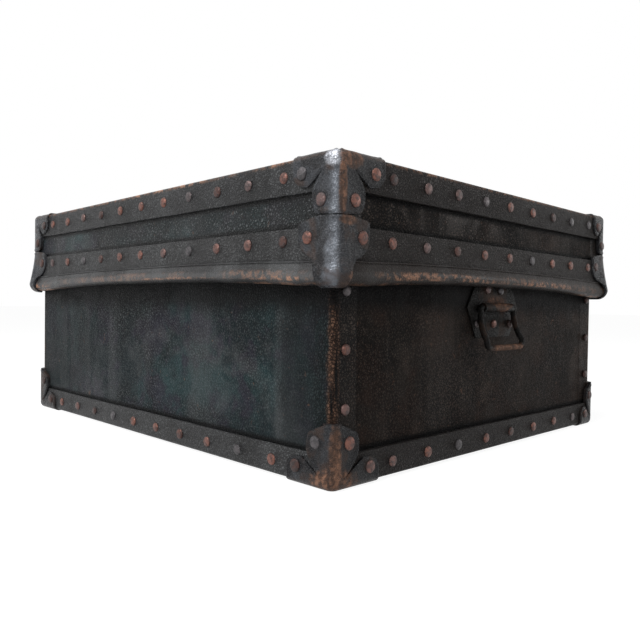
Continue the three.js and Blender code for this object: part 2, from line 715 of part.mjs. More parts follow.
// Handle plate on an end: a tapered plate, its rolled knuckle and its rivets, outward = +X
function handlePlate(back) {
  const bottom = -plateBottomDrop;
  const outline = new THREE.Shape();
  outline.moveTo(-plateEndHalfWidth, bottom);
  outline.quadraticCurveTo(0, bottom + 2 * plateArch, plateEndHalfWidth, bottom);
  outline.lineTo(plateHalfWidth, 0);
  outline.lineTo(plateEndHalfWidth, plateTopRise);
  outline.lineTo(-plateEndHalfWidth, plateTopRise);
  outline.lineTo(-plateHalfWidth, 0);
  outline.closePath();
  const plate = turned(thick(outline, plateThickness), axisY, axisZ, axisX, back, 0, handleHeight);
  const radius = knuckleDiameter / 2;
  const axis = knuckleAxis(back);
  const bore = bailDiameter / 2 + bailClearance;
  const roll = new THREE.CylinderGeometry(radius, radius, 2 * knuckleHalfLength, roundSides);
  const hole = new THREE.CylinderGeometry(bore, bore, 2 * (knuckleHalfLength + overrun), roundSides);
  let solid = solidOf(plate)
    .add(solidOf(roll.translate(axis, 0, handleHeight)))
    .subtract(solidOf(hole.translate(axis, 0, handleHeight)));
  const lower = handleHeight - plateRivets.lowerDrop;
  const upper = handleHeight + plateRivets.upperRise;
  solid = withRivetsOnX(solid, plateRivet, back + plateThickness, [
    [-plateRivets.lowerHalfSpan, lower],
    [0, lower],
    [plateRivets.lowerHalfSpan, lower],
    [-plateRivets.upperHalfSpan, upper],
    [plateRivets.upperHalfSpan, upper],
  ]);
  return geometryOf(solid);
}

function knuckleAxis(back) {
  return back + plateThickness + knuckleDiameter / 2 - knuckleRoot;
}

// One side of the bail's centre line, from inside the knuckle down to the start of the lower bar
function bailSide(sign) {
  const half = bailHalfWidth - bailDiameter / 2;
  const lowHalf = bailLowHalfWidth - bailDiameter / 2;
  const topBend = bailDiameter / 2;
  const lowBend = bailCornerRadius - bailDiameter / 2;
  const at = (x, y, z) => new THREE.Vector3(x, sign * y, z);
  const shoulder = at(0, half, -topBend);
  const middle = at(0, (half + lowHalf) / 2, -bailDrop / 2);
  const elbow = at(bailBow, lowHalf, lowBend - bailDrop);
  const end = at(bailBow, lowHalf - lowBend, -bailDrop);
  return {
    start: at(0, bailEndGap, 0),
    bends: [
      [at(0, half - topBend, 0), at(0, half, 0), shoulder],
      [shoulder, middle, elbow],
      [elbow, at(bailBow, lowHalf, -bailDrop), end],
    ],
    end,
  };
}

// Bail: a round bar bent to a ring whose ends meet inside the knuckle, outward = +X; its upper
// bar lies on the Y axis and its sides are bent away from the wall
function bail() {
  const right = bailSide(1);
  const left = bailSide(-1);
  const bends = [
    ...right.bends,
    ...left.bends.map(([from, via, to]) => [to, via, from]).reverse(),
  ].map((points) => new THREE.QuadraticBezierCurve3(...points));
  const half = right.bends.length;
  const path = new THREE.CurvePath();
  path.add(new THREE.LineCurve3(right.start, right.bends[0][0]));
  bends.slice(0, half).forEach((curve) => path.add(curve));
  path.add(new THREE.LineCurve3(right.end, left.end));
  bends.slice(half).forEach((curve) => path.add(curve));
  path.add(new THREE.LineCurve3(left.bends[0][0], left.start));
  const section = new THREE.Shape().absarc(0, 0, bailDiameter / 2, 0, 2 * Math.PI);
  const options = { steps: bailSteps, curveSegments: barSides, extrudePath: path };
  return new THREE.ExtrudeGeometry(section, options);
}

// Angle at which the hanging bail's sides rest on the heads of the lower rivets
function bailLean() {
  const contactDrop = plateRivets.lowerDrop - rivetTopShare * plateRivet.diameter / 2;
  const standOff = plateRivet.height + seatGap + bailDiameter / 2;
  const axisOut = knuckleDiameter / 2 - knuckleRoot;
  const bowThere = bailBow * (contactDrop / bailDrop) ** 2;
  return Math.asin((standOff - axisOut - bowThere) / contactDrop);
}

// Plate inside the end panel that the handle's rivets are clenched over
function handleBacking(face) {
  const low = -plateRivets.lowerDrop - backingMargin;
  const high = plateRivets.upperRise + backingMargin;
  const halfSpan = plateRivets.lowerHalfSpan + backingMargin;
  const outline = roundedRectangle(halfSpan, (high - low) / 2, backingCornerRadius);
  const plate = thick(outline, backingThickness);
  const middle = handleHeight + (low + high) / 2;
  return turned(plate, axisY, axisZ, axisX, face - backingThickness, 0, middle);
}

// Finishes
const finish = {
  fibre: { color: 0x2b3034, roughness: 0.62, metalness: 0 },
  binding: { color: 0x262729, roughness: 0.55, metalness: 0 },
  rim: { color: 0x2f2e2e, roughness: 0.5, metalness: 0 },
  cap: { color: 0x3d4248, roughness: 0.42, metalness: 0.55 },
  iron: { color: 0x4a4540, roughness: 0.5, metalness: 0.7 },
  inner: { color: 0x4b4238, roughness: 0.8, metalness: 0 },
};

function piece(name, geometry, look) {
  const mesh = new THREE.Mesh(geometry, new THREE.MeshStandardMaterial(finish[look]));
  mesh.name = name;
  return mesh;
}

// Turns a strip built outward = +X so that it faces -Y
function facingFront(mesh) {
  mesh.rotation.z = -Math.PI / 2;
  return mesh;
}

// Reach of a cap's lobe: from the cap's face to the end of the lobe short of the first rivet
function lobeReach(halfSize, row, shift, cap) {
  const lastRivet = (row.count - 1) / 2 * row.pitch + shift;
  return halfSize + capFace - lastRivet - cap.lobeToRow;
}

const chest = new THREE.Group();
const body = new THREE.Group();
const lid = new THREE.Group();
chest.add(body, lid);

const handleBack = bodyHalfLength - endInset + seatGap;

// The chest is two like halves, turned half round about the upright axis
const halves = [
  { turn: 0, long: 'front', end: 'right', near: 'front_right', far: 'back_right' },
  { turn: Math.PI, long: 'back', end: 'left', near: 'back_left', far: 'front_left' },
];

function bodyPanels({ long, end }) {
  const endPlane = bodyHalfLength - endInset;
  const betweenFlanges = bodyHalfWidth - flangeLength - seatGap;
  const endWall = endPanel(bodyHalfLength, bodyHalfWidth, bodyPanelLow, bodyPanelTop);
  const mouthRun = bodyHalfLength - Math.max(bend, 2 * endInset + seatGap);
  return [
    piece(`body_${long}_panel`, bodyLongPanel(), 'fibre'),
    piece(`body_${end}_end_panel`, endWall, 'fibre'),
    facingFront(piece(`mouth_binding_${long}`, mouthBinding(bodyHalfWidth, mouthRun), 'binding')),
    piece(`mouth_binding_${end}`, mouthBinding(endPlane, betweenFlanges), 'binding'),
  ];
}

function bottomBindings({ long, end }) {
  const onLong = longRun(bindingSection(bottomBindingHeight, 0), bodyHalfWidth, bodyHalfLength);
  const onEnd = endRun(bindingSection(bottomBindingHeight, endInset), bodyHalfLength, bodyHalfWidth);
  const longStrip = bottomBinding(onLong, bodyHalfWidth, frontBottomRow, 0);
  const endStrip = bottomBinding(onEnd, bodyHalfLength, endBottomRow, endRowShift);
  return [
    facingFront(piece(`bottom_binding_${long}`, longStrip, 'binding')),
    piece(`bottom_binding_${end}`, endStrip, 'binding'),
  ];
}

function topBindings({ long, end }) {
  const onLong = longRun(bindingSection(topBindingHeight, 0), lidHalfWidth, lidHalfLength);
  const onEnd = endRun(bindingSection(topBindingHeight, endInset), lidHalfLength, lidHalfWidth);
  const longStrip = topBinding(onLong, lidHalfWidth, frontLidRow, 0);
  const endStrip = topBinding(onEnd, lidHalfLength, endLidRow, endRowShift);
  return [
    facingFront(piece(`lid_top_binding_${long}`, longStrip, 'binding')),
    piece(`lid_top_binding_${end}`, endStrip, 'binding'),
  ];
}

// The two caps at one end of the body, turned over so that their level face is the underside
function bottomCaps({ near, far }) {
  const longReach = lobeReach(bodyHalfLength, frontBottomRow, 0, bottomCap);
  const nearReach = lobeReach(bodyHalfWidth, endBottomRow, -endRowShift, bottomCap);
  const farReach = lobeReach(bodyHalfWidth, endBottomRow, endRowShift, bottomCap);
  const formed = (endReach) => formedCap(bottomCap, bottomBindingHeight, longReach, endReach, false);
  const nearCap = piece(`bottom_corner_cap_${near}`, formed(nearReach), 'cap');
  const farCap = piece(`bottom_corner_cap_${far}`, mirroredAcrossY(formed(farReach)), 'cap');
  nearCap.rotation.x = Math.PI;
  farCap.rotation.x = Math.PI;
  nearCap.position.set(bodyHalfLength + capFace, -bodyHalfWidth - capFace, 0);
  farCap.position.set(bodyHalfLength + capFace, bodyHalfWidth + capFace, 0);
  return [nearCap, farCap];
}

function topCaps({ near, far }) {
  const longReach = lobeReach(lidHalfLength, frontLidRow, 0, topCap);
  const nearReach = lobeReach(lidHalfWidth, endLidRow, -endRowShift, topCap);
  const farReach = lobeReach(lidHalfWidth, endLidRow, endRowShift, topCap);
  const formed = (endReach) => formedCap(topCap, topBindingHeight, longReach, endReach, true);
  const nearCap = piece(`lid_corner_cap_${near}`, mirroredAcrossY(formed(nearReach)), 'cap');
  const farCap = piece(`lid_corner_cap_${far}`, formed(farReach), 'cap');
  const top = lidBindingTop + seatGap + capThickness;
  nearCap.position.set(lidHalfLength + capFace, -lidHalfWidth - capFace, top);
  farCap.position.set(lidHalfLength + capFace, lidHalfWidth + capFace, top);
  return [nearCap, farCap];
}

function rimPieces({ long, end, near, far }) {
  const nearCap = piece(`rim_corner_cap_${near}`, mirroredAcrossY(rimCornerCap()), 'cap');
  const farCap = piece(`rim_corner_cap_${far}`, rimCornerCap(), 'cap');
  nearCap.position.set(lidHalfLength, -lidHalfWidth, 0);
  farCap.position.set(lidHalfLength, lidHalfWidth, 0);
  return [
    facingFront(piece(`lid_rim_band_${long}`, longRimBand(), 'rim')),
    piece(`lid_rim_band_${end}`, endRimBand(), 'rim'),
    nearCap,
    farCap,
  ];
}

function handle({ end }) {
  const backingFace = bodyHalfLength - endInset - panelThickness - seatGap;
  const ring = piece(`${end}_handle_bail`, bail(), 'iron');
  ring.position.set(knuckleAxis(handleBack), 0, handleHeight);
  ring.rotation.y = -bailLean();
  return [
    piece(`${end}_handle_plate`, handlePlate(handleBack), 'iron'),
    piece(`${end}_handle_backing_plate`, handleBacking(backingFace), 'iron'),
    ring,
  ];
}

function lidPanels({ long, end }) {
  const endWall = endPanel(lidHalfLength, lidHalfWidth, lidPanelLow, lidPanelTop);
  return [
    piece(`lid_${long}_panel`, lidLongPanel(), 'fibre'),
    piece(`lid_${end}_end_panel`, endWall, 'fibre'),
  ];
}

function turnedGroup(turn, meshes) {
  const group = new THREE.Group();
  group.rotation.z = turn;
  group.add(...meshes);
  return group;
}

const bottomPanel = levelPanel(bodyHalfLength, bodyHalfWidth, bodyPanelLow);
const topPanel = levelPanel(lidHalfLength, lidHalfWidth, lidPanelTop - panelThickness);
body.add(piece('body_bottom_panel', bottomPanel, 'inner'));
lid.add(piece('lid_top_panel', topPanel, 'fibre'));
for (const half of halves) {
  body.add(turnedGroup(half.turn, [
    ...bodyPanels(half), ...bottomBindings(half), ...bottomCaps(half), ...handle(half),
  ]));
  lid.add(turnedGroup(half.turn, [
    ...lidPanels(half), ...topBindings(half), ...topCaps(half), ...rimPieces(half),
  ]));
}

export default chest;
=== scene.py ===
"""A riveted fibre travelling chest with a deep lift-off lid, dressed round its fixed frame."""

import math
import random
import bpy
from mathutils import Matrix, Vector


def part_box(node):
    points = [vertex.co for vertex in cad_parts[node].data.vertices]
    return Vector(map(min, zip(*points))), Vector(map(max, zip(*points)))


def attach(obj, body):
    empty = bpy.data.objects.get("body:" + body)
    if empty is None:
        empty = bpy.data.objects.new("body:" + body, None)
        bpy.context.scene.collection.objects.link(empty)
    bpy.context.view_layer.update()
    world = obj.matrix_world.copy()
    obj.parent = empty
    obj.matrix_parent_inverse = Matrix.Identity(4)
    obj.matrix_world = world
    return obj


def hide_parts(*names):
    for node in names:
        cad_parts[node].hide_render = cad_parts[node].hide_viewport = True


bl_info = {
    "name": "Riveted travelling chest",
    "version": (1, 0, 0),
    "blender": (4, 5, 0),
    "location": "View3D > Sidebar > Chest",
    "description": "Builds a worn riveted travelling chest with bound edges, caps and bail handles",
    "category": "Add Mesh",
}

import bpy
from mathutils import Matrix, Vector

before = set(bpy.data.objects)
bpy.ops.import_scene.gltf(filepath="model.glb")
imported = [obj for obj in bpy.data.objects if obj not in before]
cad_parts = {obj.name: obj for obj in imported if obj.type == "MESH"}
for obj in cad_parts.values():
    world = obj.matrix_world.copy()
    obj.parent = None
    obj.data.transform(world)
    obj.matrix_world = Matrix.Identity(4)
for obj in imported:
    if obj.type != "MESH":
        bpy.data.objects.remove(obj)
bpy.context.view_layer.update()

# Sheet and strip thicknesses, in metres, as the solids have them
SEAT_GAP = 0.0002
PANEL_THICKNESS = 0.0026
END_INSET = 0.0028
BINDING_THICKNESS = 0.0024
BINDING_FACE = SEAT_GAP + BINDING_THICKNESS
BINDING_EDGE_RADIUS = 0.003
BINDING_LEVEL_LEG = 0.030
CAP_THICKNESS = 0.0024
CAP_FACE = BINDING_FACE + SEAT_GAP + CAP_THICKNESS
BEND = 0.0066
FLANGE_LENGTH = 0.030

# The carcase, read from the fixed frame
body_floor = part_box("body_bottom_panel")[1]
lid_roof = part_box("lid_top_panel")[1]
body_half_length = body_floor.x + 2 * END_INSET
body_half_width = body_floor.y + END_INSET
lid_half_length = lid_roof.x + 2 * END_INSET
lid_half_width = lid_roof.y + END_INSET
lid_binding_top = lid_roof.z + BINDING_FACE
lid_panel_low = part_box("lid_front_panel")[0].z
binding_underside = CAP_THICKNESS + SEAT_GAP

# Edge strips
BOTTOM_STRIP_HEIGHT = 0.0294
TOP_STRIP_HEIGHT = 0.0327
STRIP_STEPS = 90
STRIP_EDGE_BEVEL = 0.0007
BEVEL_SEGMENTS = 2
STRIP_WANDER = 0.00035
WANDER_WAVES = ((1.0, 23.0, 5.0), (0.6, 57.0, 11.0), (0.4, 131.0, 3.0))
ROUND_STEPS = 5

# Rim band that ends in a rolled bead
LID_DEPTH = 0.117
RIM_BAND_HEIGHT = 0.0528
BEAD_HEIGHT = 0.0226
BEAD_PROUD = 0.009
BEAD_INSET = PANEL_THICKNESS / 2
BEAD_STEPS = 12
BEAD_CREST_RISE = 0.0075
BEAD_SLOPE = ((0.0086, 0.0135), (0.0050, 0.0196))
BEAD_RIDGE = ((0.0047, 0.0202), (0.0055, 0.0210), (0.0053, 0.0218), (0.0037, 0.0224), (0.0026, 0.0228))
RIM_BOW = 0.0062
BOW_POWER = 2.6
bead_low = lid_binding_top - LID_DEPTH
band_top = bead_low + RIM_BAND_HEIGHT
bead_centre = bead_low + BEAD_HEIGHT / 2

# Rivet heads: diameter and height
STRIP_RIVET = (0.0116, 0.0020)
CAP_RIVET = (0.0128, 0.0020)
FLANGE_RIVET = (0.0106, 0.0028)
PLATE_RIVET = (0.0100, 0.0030)
FRESH_TONES = (0.0, 1.0)
DARK_TONES = (0.0, 0.08)
RIVET_SIDES = 12
RIVET_RINGS = ((1.0, -0.35), (0.985, 0.30), (0.86, 0.70), (0.58, 0.94))
RIVET_TILT = math.radians(4)
RIVET_SIZE_SPREAD = 0.05
RIVET_SHIFT = 0.0006
RIVET_TONE = "tone"

# Rivet rows: count and pitch
FRONT_LID_ROW = (11, 0.0534)
END_LID_ROW = (9, 0.0544)
FRONT_BOTTOM_ROW = (10, 0.0546)
END_BOTTOM_ROW = (8, 0.057)
END_ROW_SHIFT = 0.0115
TOP_ROW_DROP = 0.0162
BAND_ROW_DROP = 0.0115
BOTTOM_ROW_RISE = 0.0138
FLAT_ROW_INSET = 0.0162
FLANGE_ROW = (4, 0.054)
FLANGE_ROW_FIRST = 0.0709
FLANGE_ROW_INSET = 0.0156

# Formed caps, each size in metres down from the cap's own corner
TOP_CAP = {
    "lobe_drop": 0.031, "notch_drop": 0.0185, "notch_share": 0.36,
    "shoulder_drop": 0.0376, "foot_drop": 0.0561, "leg_drop": 0.0576,
    "lobe_to_row": 0.0144, "lobe_rivet_drop": 0.0186, "leg_rivet_drop": 0.0446, "level_share": 1.0,
}
BOTTOM_CAP = {
    "lobe_drop": 0.0274, "notch_drop": 0.013, "notch_share": 0.3,
    "shoulder_drop": 0.038, "foot_drop": 0.0535, "leg_drop": 0.062,
    "lobe_to_row": 0.0235, "lobe_rivet_drop": 0.0173, "leg_rivet_drop": 0.043, "level_share": 0.0,
}
LOBE_FOOT_SHARE = 0.66
LOBE_SQUARE_SHARE = 0.45
SHOULDER_SHARE = 0.56
FOOT_SHARE = 0.42
LEG_RIVET_SHARE = 0.35
LEG_BULGE_SHARE = 0.64
LOBE_RIVET_INSET = 0.0134
CAP_GRID_CUTS = 53
INNER_CUTS = 29
INNER_BLOCK_SHARE = 2.13
CURVE_STEPS = 7
CUTTER_REACH = 0.005
PRESSED_RIM_RISE = 0.0007
PRESSED_RIM_INSET = 0.0024
PRESSED_RIM_WIDTH = 0.0013
CAP_EDGE_ROLL = 0.0007
CAP_DENT = 0.0007
CAP_DENT_SLANT = (2, 3)
CORNER_SOFTENING = 0.0022

# Caps over the corners of the rim
RIM_LONG_REACH = 0.046
RIM_END_REACH = 0.037
RIM_LONG_TONGUE = 0.019
RIM_END_TONGUE = 0.0068
RIM_CORNER_PROUD = 0.0012
RIM_EAR_RISE = 0.004
RIM_RIVET_DROP = 0.0098
RIM_RIVET_SHARE = 0.73
RIM_TOP_SHARE = 0.6
EAR_LOW_SHARE = 0.2
EAR_TURN_SHARE = 0.38
WAIST_SHARE = 0.67
WAIST_DROP_SHARE = 0.52
TONGUE_TURN_SHARE = 0.62
TONGUE_DROP_SHARE = 0.8
FLARE_SHARE = 0.56
FLARE_POWER = 1.5
RIM_RUN_STEPS = 30
RIM_TURN_STEPS = 10
RIM_PROFILE_STEPS = 34
UNDER_BEAD_SHARE = 0.42
rim_cap_top = lid_binding_top + CAP_THICKNESS - TOP_CAP["leg_drop"]

# Handle on each end
PLATE_THICKNESS = 0.002
PLATE_BOTTOM_DROP = 0.035
PLATE_TOP_RISE = 0.029
PLATE_HALF_WIDTH = 0.056
PLATE_END_HALF_WIDTH = 0.038
PLATE_RIVETS = ((-0.036, -0.019), (0.0, -0.019), (0.036, -0.019), (-0.0142, 0.0204), (0.0142, 0.0204))
PLATE_EDGE_BEVEL = 0.0006
KNUCKLE_DIAMETER = 0.0104
KNUCKLE_HALF_LENGTH = 0.032
KNUCKLE_ROOT = 0.0003
KNUCKLE_SIDES = 32
BAIL_DIAMETER = 0.0068
BAIL_CLEARANCE = 0.0004
BAIL_HALF_WIDTH = 0.040
BAIL_LOW_HALF_WIDTH = 0.043
BAIL_DROP = 0.0465
BAIL_CORNER_RADIUS = 0.012
BAIL_BOW = 0.0105
BAIL_STEPS = 14
BAIL_SIDES = 5
plate_back = body_half_length - END_INSET + SEAT_GAP
knuckle_axis = plate_back + PLATE_THICKNESS + KNUCKLE_DIAMETER / 2 - KNUCKLE_ROOT
handle_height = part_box("right_handle_plate")[1].z - PLATE_TOP_RISE
bail_box_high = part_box("right_handle_bail")[1]

# Boxes that wear is measured from: half length, half width, low and high
BODY_BOX = (body_half_length, body_half_width, binding_underside, lid_binding_top)
LID_BOX = (lid_half_length, lid_half_width, bead_low, lid_binding_top)
STANDING_BOX = (body_half_length, body_half_width, 0.0, lid_binding_top)
NO_EDGE_NEAR = 1.0
END_BLEND = 0.005
END_REACH = (0.016, 0.012)

# Grain of pressed fibre: scales of its cells, its wrinkles and its finest roughness
SHEET_GRAIN = (330.0, 230.0, 1500.0)
STRIP_GRAIN = (350.0, 250.0, 1700.0)
NOISE_MIDDLE = 0.5
GRAIN_BEND = 0.004
CELL_SLOPE = 0.28
CELL_TOP = (0.72, 1.0)
WRINKLE_NOISE = (1.5, 0.5, 0.6)
WRINKLE_WIDTH = 0.075
WRINKLE_LEAST = 0.45
GRAIN_FINE_DETAIL = 3.0
GRAIN_FINE_SHARE = 0.3

# Noise of the masks: detail, roughness and distortion, with its scale first where it has its own
STAIN_NOISE = (6.0, 0.62, 0.4)
STREAK_NOISE = (3.0, 0.5, 0.3)
STREAK_FLATNESS = 0.07
SCRATCH_NOISE = (5.0, 0.7)
SCRATCH_DIRECTIONS = ((0.5, 0.0), (-0.9, 3.0))
SCRATCH_THINNESS = 18.0
SCRATCH_LEVELS = (0.62, 0.72)
PATCH_NOISE = (150.0, 6.0, 0.7)
PATCH_RAGGED = 0.6
PATCH_FULL_SHARE = 0.62
EDGE_NOISE = (75.0, 6.0, 0.65)
FLAKE_NOISE = (420.0, 5.0, 0.7)
METAL_NOISE = (240.0, 6.0, 0.7)

# Masks on the sheets: scale, low and high level, and how far the mask is moved
SHEET_BLOTCH = (7.0, 0.44, 0.60)
SHEET_TINT = (21.0, 0.48, 0.60, (6, 3, 5))
SHEET_CLOUD = (17.0, 0.50, 0.64, (3, 1, 7))
SHEET_SPECK = (110.0, 0.64, 0.72, (9, 4, 2))
SHEET_STREAK = (24.0, 0.5, 0.68)
SHEET_FIBRES = (260.0, 0.34, 0.54)
SHEET_GRAINED = (5.0, 0.40, 0.60, (2, 8, 4))
GRAINED_LEAST = 0.35
SHEET_SCRATCH_SCALE = 24.0
SHEET_SHARES = {
    "tint": 0.8, "cloud": 0.35, "streak": 0.25, "darker_patch": 0.5, "deep soot": 0.3, "worn": 0.95,
    "crease": 0.95, "marks": 0.35, "speck": 0.45, "shade": 0.92,
}
EDGE_WEAR_SHARES = (1.35, 0.85)
# Painted shade on the sheets: the share of its reach where it is full, and its reach under the bead and along
# the strips
SHADE_CORE_SHARE = 0.3
UNDER_BEAD_SHADE = 0.034
STRIP_SHADE = 0.0075
SHEET_POLISH = 0.06
COAT_ROUGHNESS = 0.2
SHEET_ROUGHNESS = 0.28
CLOUD_ROUGHNESS = 0.14
SHEET_CREASE_ROUGHNESS = 0.3
SHEET_WAVES = (9.0, 3.0)
SHEET_WAVE_DEPTH = 0.006
FIBRE_DEPTH = 0.0001

# Each sheet: share of the grain's depth, shine, and how much lighter the tops of the grain are, dust bloom
# with painted highlight
SHEET_VALUES = {
    "body sheet": (1.3, 0.07, 0.5),
    "body end sheet": (0.7, 0.03, 0.35),
    "lid sheet": (1.9, 0.24, 0.75),
    "lid end sheet": (1.1, 0.04, 0.5),
    "inner sheet": (0.5, 0.3, 0.2),
}

# Masks on the strips and the rim
STRIP_BLOTCH = (13.0, 0.42, 0.66)
STRIP_CHIPS = (130.0, 0.44, 0.58, (5, 2, 8))
STRIP_BROAD = (9.0, 0.46, 0.6, (1, 6, 3))
STRIP_STREAK = (34.0, 0.5, 0.66)
STRIP_BAND = (22.0, 0.5, 0.62, (4, 9, 2))
STRIP_SCRATCH_SCALE = 40.0
# Shares of each layer on the strips: top and crease are the grain's dust and dirt with painted highlight and
# painted shade, band the darker bands with painted sheen, and end bloom how much weaker the painted highlight
# on the bead's crest is on the ends
STRIP_SHARES = {
    "blotch": 0.5, "streak": 0.5, "band": 0.6, "top": 0.4, "warm": 0.6, "crease": 0.8, "marks": 0.35,
    "end bloom": 0.8,
}
STRIP_SHINES = {"long": 0.25, "end": 0.08}
STRIP_EDGE = (0.0052, 0.0010)
STRIP_CREST = (-0.0010, 0.0)
RIM_CREST = (0.0046, 0.0060)
RIM_LOOSE_WEAR = 0.4
RIM_GRAIN_SHARE = 0.7
BROAD_LEAST = 0.3
FLAKE_LEVELS = (0.38, 0.62)
FLAKE_LEAST = 0.3
BEAD_START = (0.0008, 0.0026)
BEAD_SMOOTHING = 0.4
BEAD_POLISH = 0.035
# Painted highlight on the bead: the stretch of its crest that takes a line of the dust colour, and how
# strongly
BEAD_CREST = (0.0052, 0.0062)
BEAD_PAINTED_HIGHLIGHT = 0.38
STRIP_ROUGHNESS = 0.24
BLOTCH_ROUGHNESS = 0.14
STRIP_CREASE_ROUGHNESS = 0.2
STRIP_RIPPLES = (26.0, 2.0)
STRIP_RIPPLE_DEPTH = 0.0022
WORN_DEPTH = 0.0002

# Each metal: shine, levels of its rust, levels of its bare steel, and how bare its corner is
METAL_VALUES = {
    "lid cap": (0.2, (0.54, 0.66), (0.44, 0.60), 0.85),
    "rim cap": (0.2, (0.52, 0.66), (0.40, 0.56), 0.85),
    "bottom cap": (0.16, (0.46, 0.60), (0.54, 0.70), 0.15),
    "handle iron": (0.05, (0.52, 0.66), (0.50, 0.62), 0.0),
}
# Shares of each layer on the metals; end is how much less bare steel shows on the end faces, partly painted
# shade
METAL_SHARES = {
    "rubbed": 0.16, "marks": 0.4, "end": 0.85, "browned": 0.6, "edge": 0.6, "known": 0.85,
    "edge rust": 0.35, "covered": 0.7, "bare metal": 0.6, "glint metal": 0.9,
}
RUST_SCALE = 30.0
BARE_SCALE = 42.0
BARE_OFFSET = (4, 7, 1)
METAL_SCRATCH_SCALE = 70.0
METAL_RUBS = (170.0, 0.30, 0.60)
METAL_FLAKES = (0.36, 0.70)
METAL_EDGE = (0.0105, 0.005)
METAL_EDGE_RAGGED = 0.012
CORNER_REACH = (0.048, 0.018)
CORNER_RAGGED = 0.045
GLINT_LEVELS = (0.30, 0.55)
METAL_ROUGHNESS = 0.20
BROWN_ROUGHNESS = 0.24
METAL_FINE_ROUGHNESS = 0.14
METAL_DENTS = (55.0, 4.0)
METAL_DEPTHS = (0.0009, 0.0006, 0.00022, 0.0001)

# Rivet finish
RIVET_SHINE = 0.3
GREY_TONES = (0.45, 0.95)
DULL_TONES = (0.3, 0.0)
SMUDGE_OFFSET = (2, 5, 8)
SMUDGE_NOISE = (230.0, 4.0)
SMUDGE_LEVELS = (0.42, 0.62)
PIT_LEVELS = (0.5, 0.7)
RIVET_SHARES = {"dull": 0.75, "smudge": 0.6, "pits": 0.5}
RIVET_METAL_RAMP = (0.9, 0.2, 0.1, 0.45)
RIVET_ROUGHNESS_RAMP = (0.3, 0.7, 0.3, 0.52)
SMUDGE_DEPTH = 0.0004
PIT_DEPTH = 0.0002

# Places worn, rubbed bright or darker in the photograph, and the painted glint on the lid cap: centre and
# reach of each patch
RIM_PATCHES = (
    ((0.344, -0.125, 0.1960), (0.02, 0.125, 0.0078)),
    ((0.344, 0.090, 0.1960), (0.02, 0.090, 0.0065)),
    ((0.262, -0.286, 0.1905), (0.050, 0.02, 0.0055)),
    ((0.060, -0.286, 0.1945), (0.110, 0.02, 0.0040)),
    ((-0.310, -0.286, 0.1905), (0.050, 0.02, 0.0060)),
)
STRIP_PATCHES = (
    ((0.338, 0.060, 0.303), (0.02, 0.200, 0.004)),
    ((-0.100, -0.280, 0.303), (0.160, 0.02, 0.004)),
)
LID_CAP_PATCHES = (
    ((0.341, -0.266, 0.298), (0.011, 0.017, 0.012)),
    ((0.342, -0.277, 0.272), (0.006, 0.006, 0.034)),
    ((0.345, -0.264, 0.194), (0.012, 0.016, 0.006)),
    ((0.343, -0.270, 0.243), (0.008, 0.014, 0.006)),
)
# Painted glint: a patch of bright highlight colour and more metal at the lid cap's upper corner
PAINTED_GLINT_PATCHES = (
    ((0.334, -0.284, 0.2975), (0.013, 0.012, 0.0105)),
)
BOTTOM_CAP_PATCHES = (
    ((0.331, -0.276, 0.004), (0.036, 0.040, 0.020)),
    ((0.332, -0.274, 0.030), (0.008, 0.012, 0.042)),
)
HANDLE_PATCHES = (
    ((0.345, 0.004, 0.1215), (0.020, 0.044, 0.0075)),
    ((0.330, 0.006, 0.1730), (0.012, 0.030, 0.0110)),
)
# Darker patches on the front sheet of the body
DARKER_PATCHES = (
    ((-0.250, -0.273, 0.120), (0.130, 0.050, 0.110)),
    ((0.290, -0.273, 0.110), (0.045, 0.050, 0.130)),
)

# Camera, found from the photograph's lines, and the lamps with their places and sizes
CAMERA_PLACE = (0.72846, -0.68461, 0.16625)
CAMERA_YAW = math.radians(135.47)
CAMERA_PITCH = math.radians(-1.16)
CAMERA_ROLL = math.radians(-0.83)
SENSOR_WIDTH = 36.0
LAMPS = (
    ("key", (-0.6, -1.9, 1.8), 0.5),
    ("fill", (1.6, 2.0, 0.8), 0.45),
    ("top", (0.3, -0.6, 2.1), 0.8),
    ("glint", (0.45, -1.8, 1.6), 0.7),
)
LAMP_TARGET = Vector((0, 0, 0.15))
WHITE_BACKGROUND = (1.0, 1.0, 1.0)
FLOOR_GLOW_SHARE = 0.75
FLOOR_GLOW = 1.22

# Turns and directions of pieces that are built to face the right end
HALF_TURN = math.pi
QUARTER_TURN = math.pi / 2
AS_BUILT = Matrix.Identity(4)
TO_FRONT = Matrix.Rotation(-QUARTER_TURN, 4, "Z")
HALF_ROUND = Matrix.Rotation(HALF_TURN, 4, "Z")
OUT = Vector((1, 0, 0))
UP = Vector((0, 0, 1))

# Side of a corner cap, and the corners that it and its half-turned copy stand on
CORNER_PAIRS = ((-1, ("front_right", "back_left")), (1, ("back_right", "front_left")))

# Meshing
SMOOTH_ANGLE = math.radians(35)
BEVEL_ANGLE = math.radians(60)
RANDOM_SEED = 11
LEAST_FACES = 8
MERGE_DISTANCE = 0.000002
HOLE_SIDES = 6

draws = random.Random(RANDOM_SEED)


# Selecting, cutting and finishing pieces

def to_object_mode():
    active = bpy.context.object
    if active is not None and active.mode != "OBJECT":
        bpy.ops.object.mode_set(mode="OBJECT")


def deselect_all():
    to_object_mode()
    bpy.ops.object.select_all(action="DESELECT")


def activate(piece):
    deselect_all()
    piece.select_set(True)
    bpy.context.view_layer.objects.active = piece
    return piece


def new_primitive(name):
    piece = bpy.context.object
    piece.name = name
    piece.data.name = name
    return piece


def settle(piece):
    """Puts the piece's place into its mesh."""
    activate(piece)
    bpy.ops.object.transform_apply(location=True, rotation=True, scale=True)
    return piece


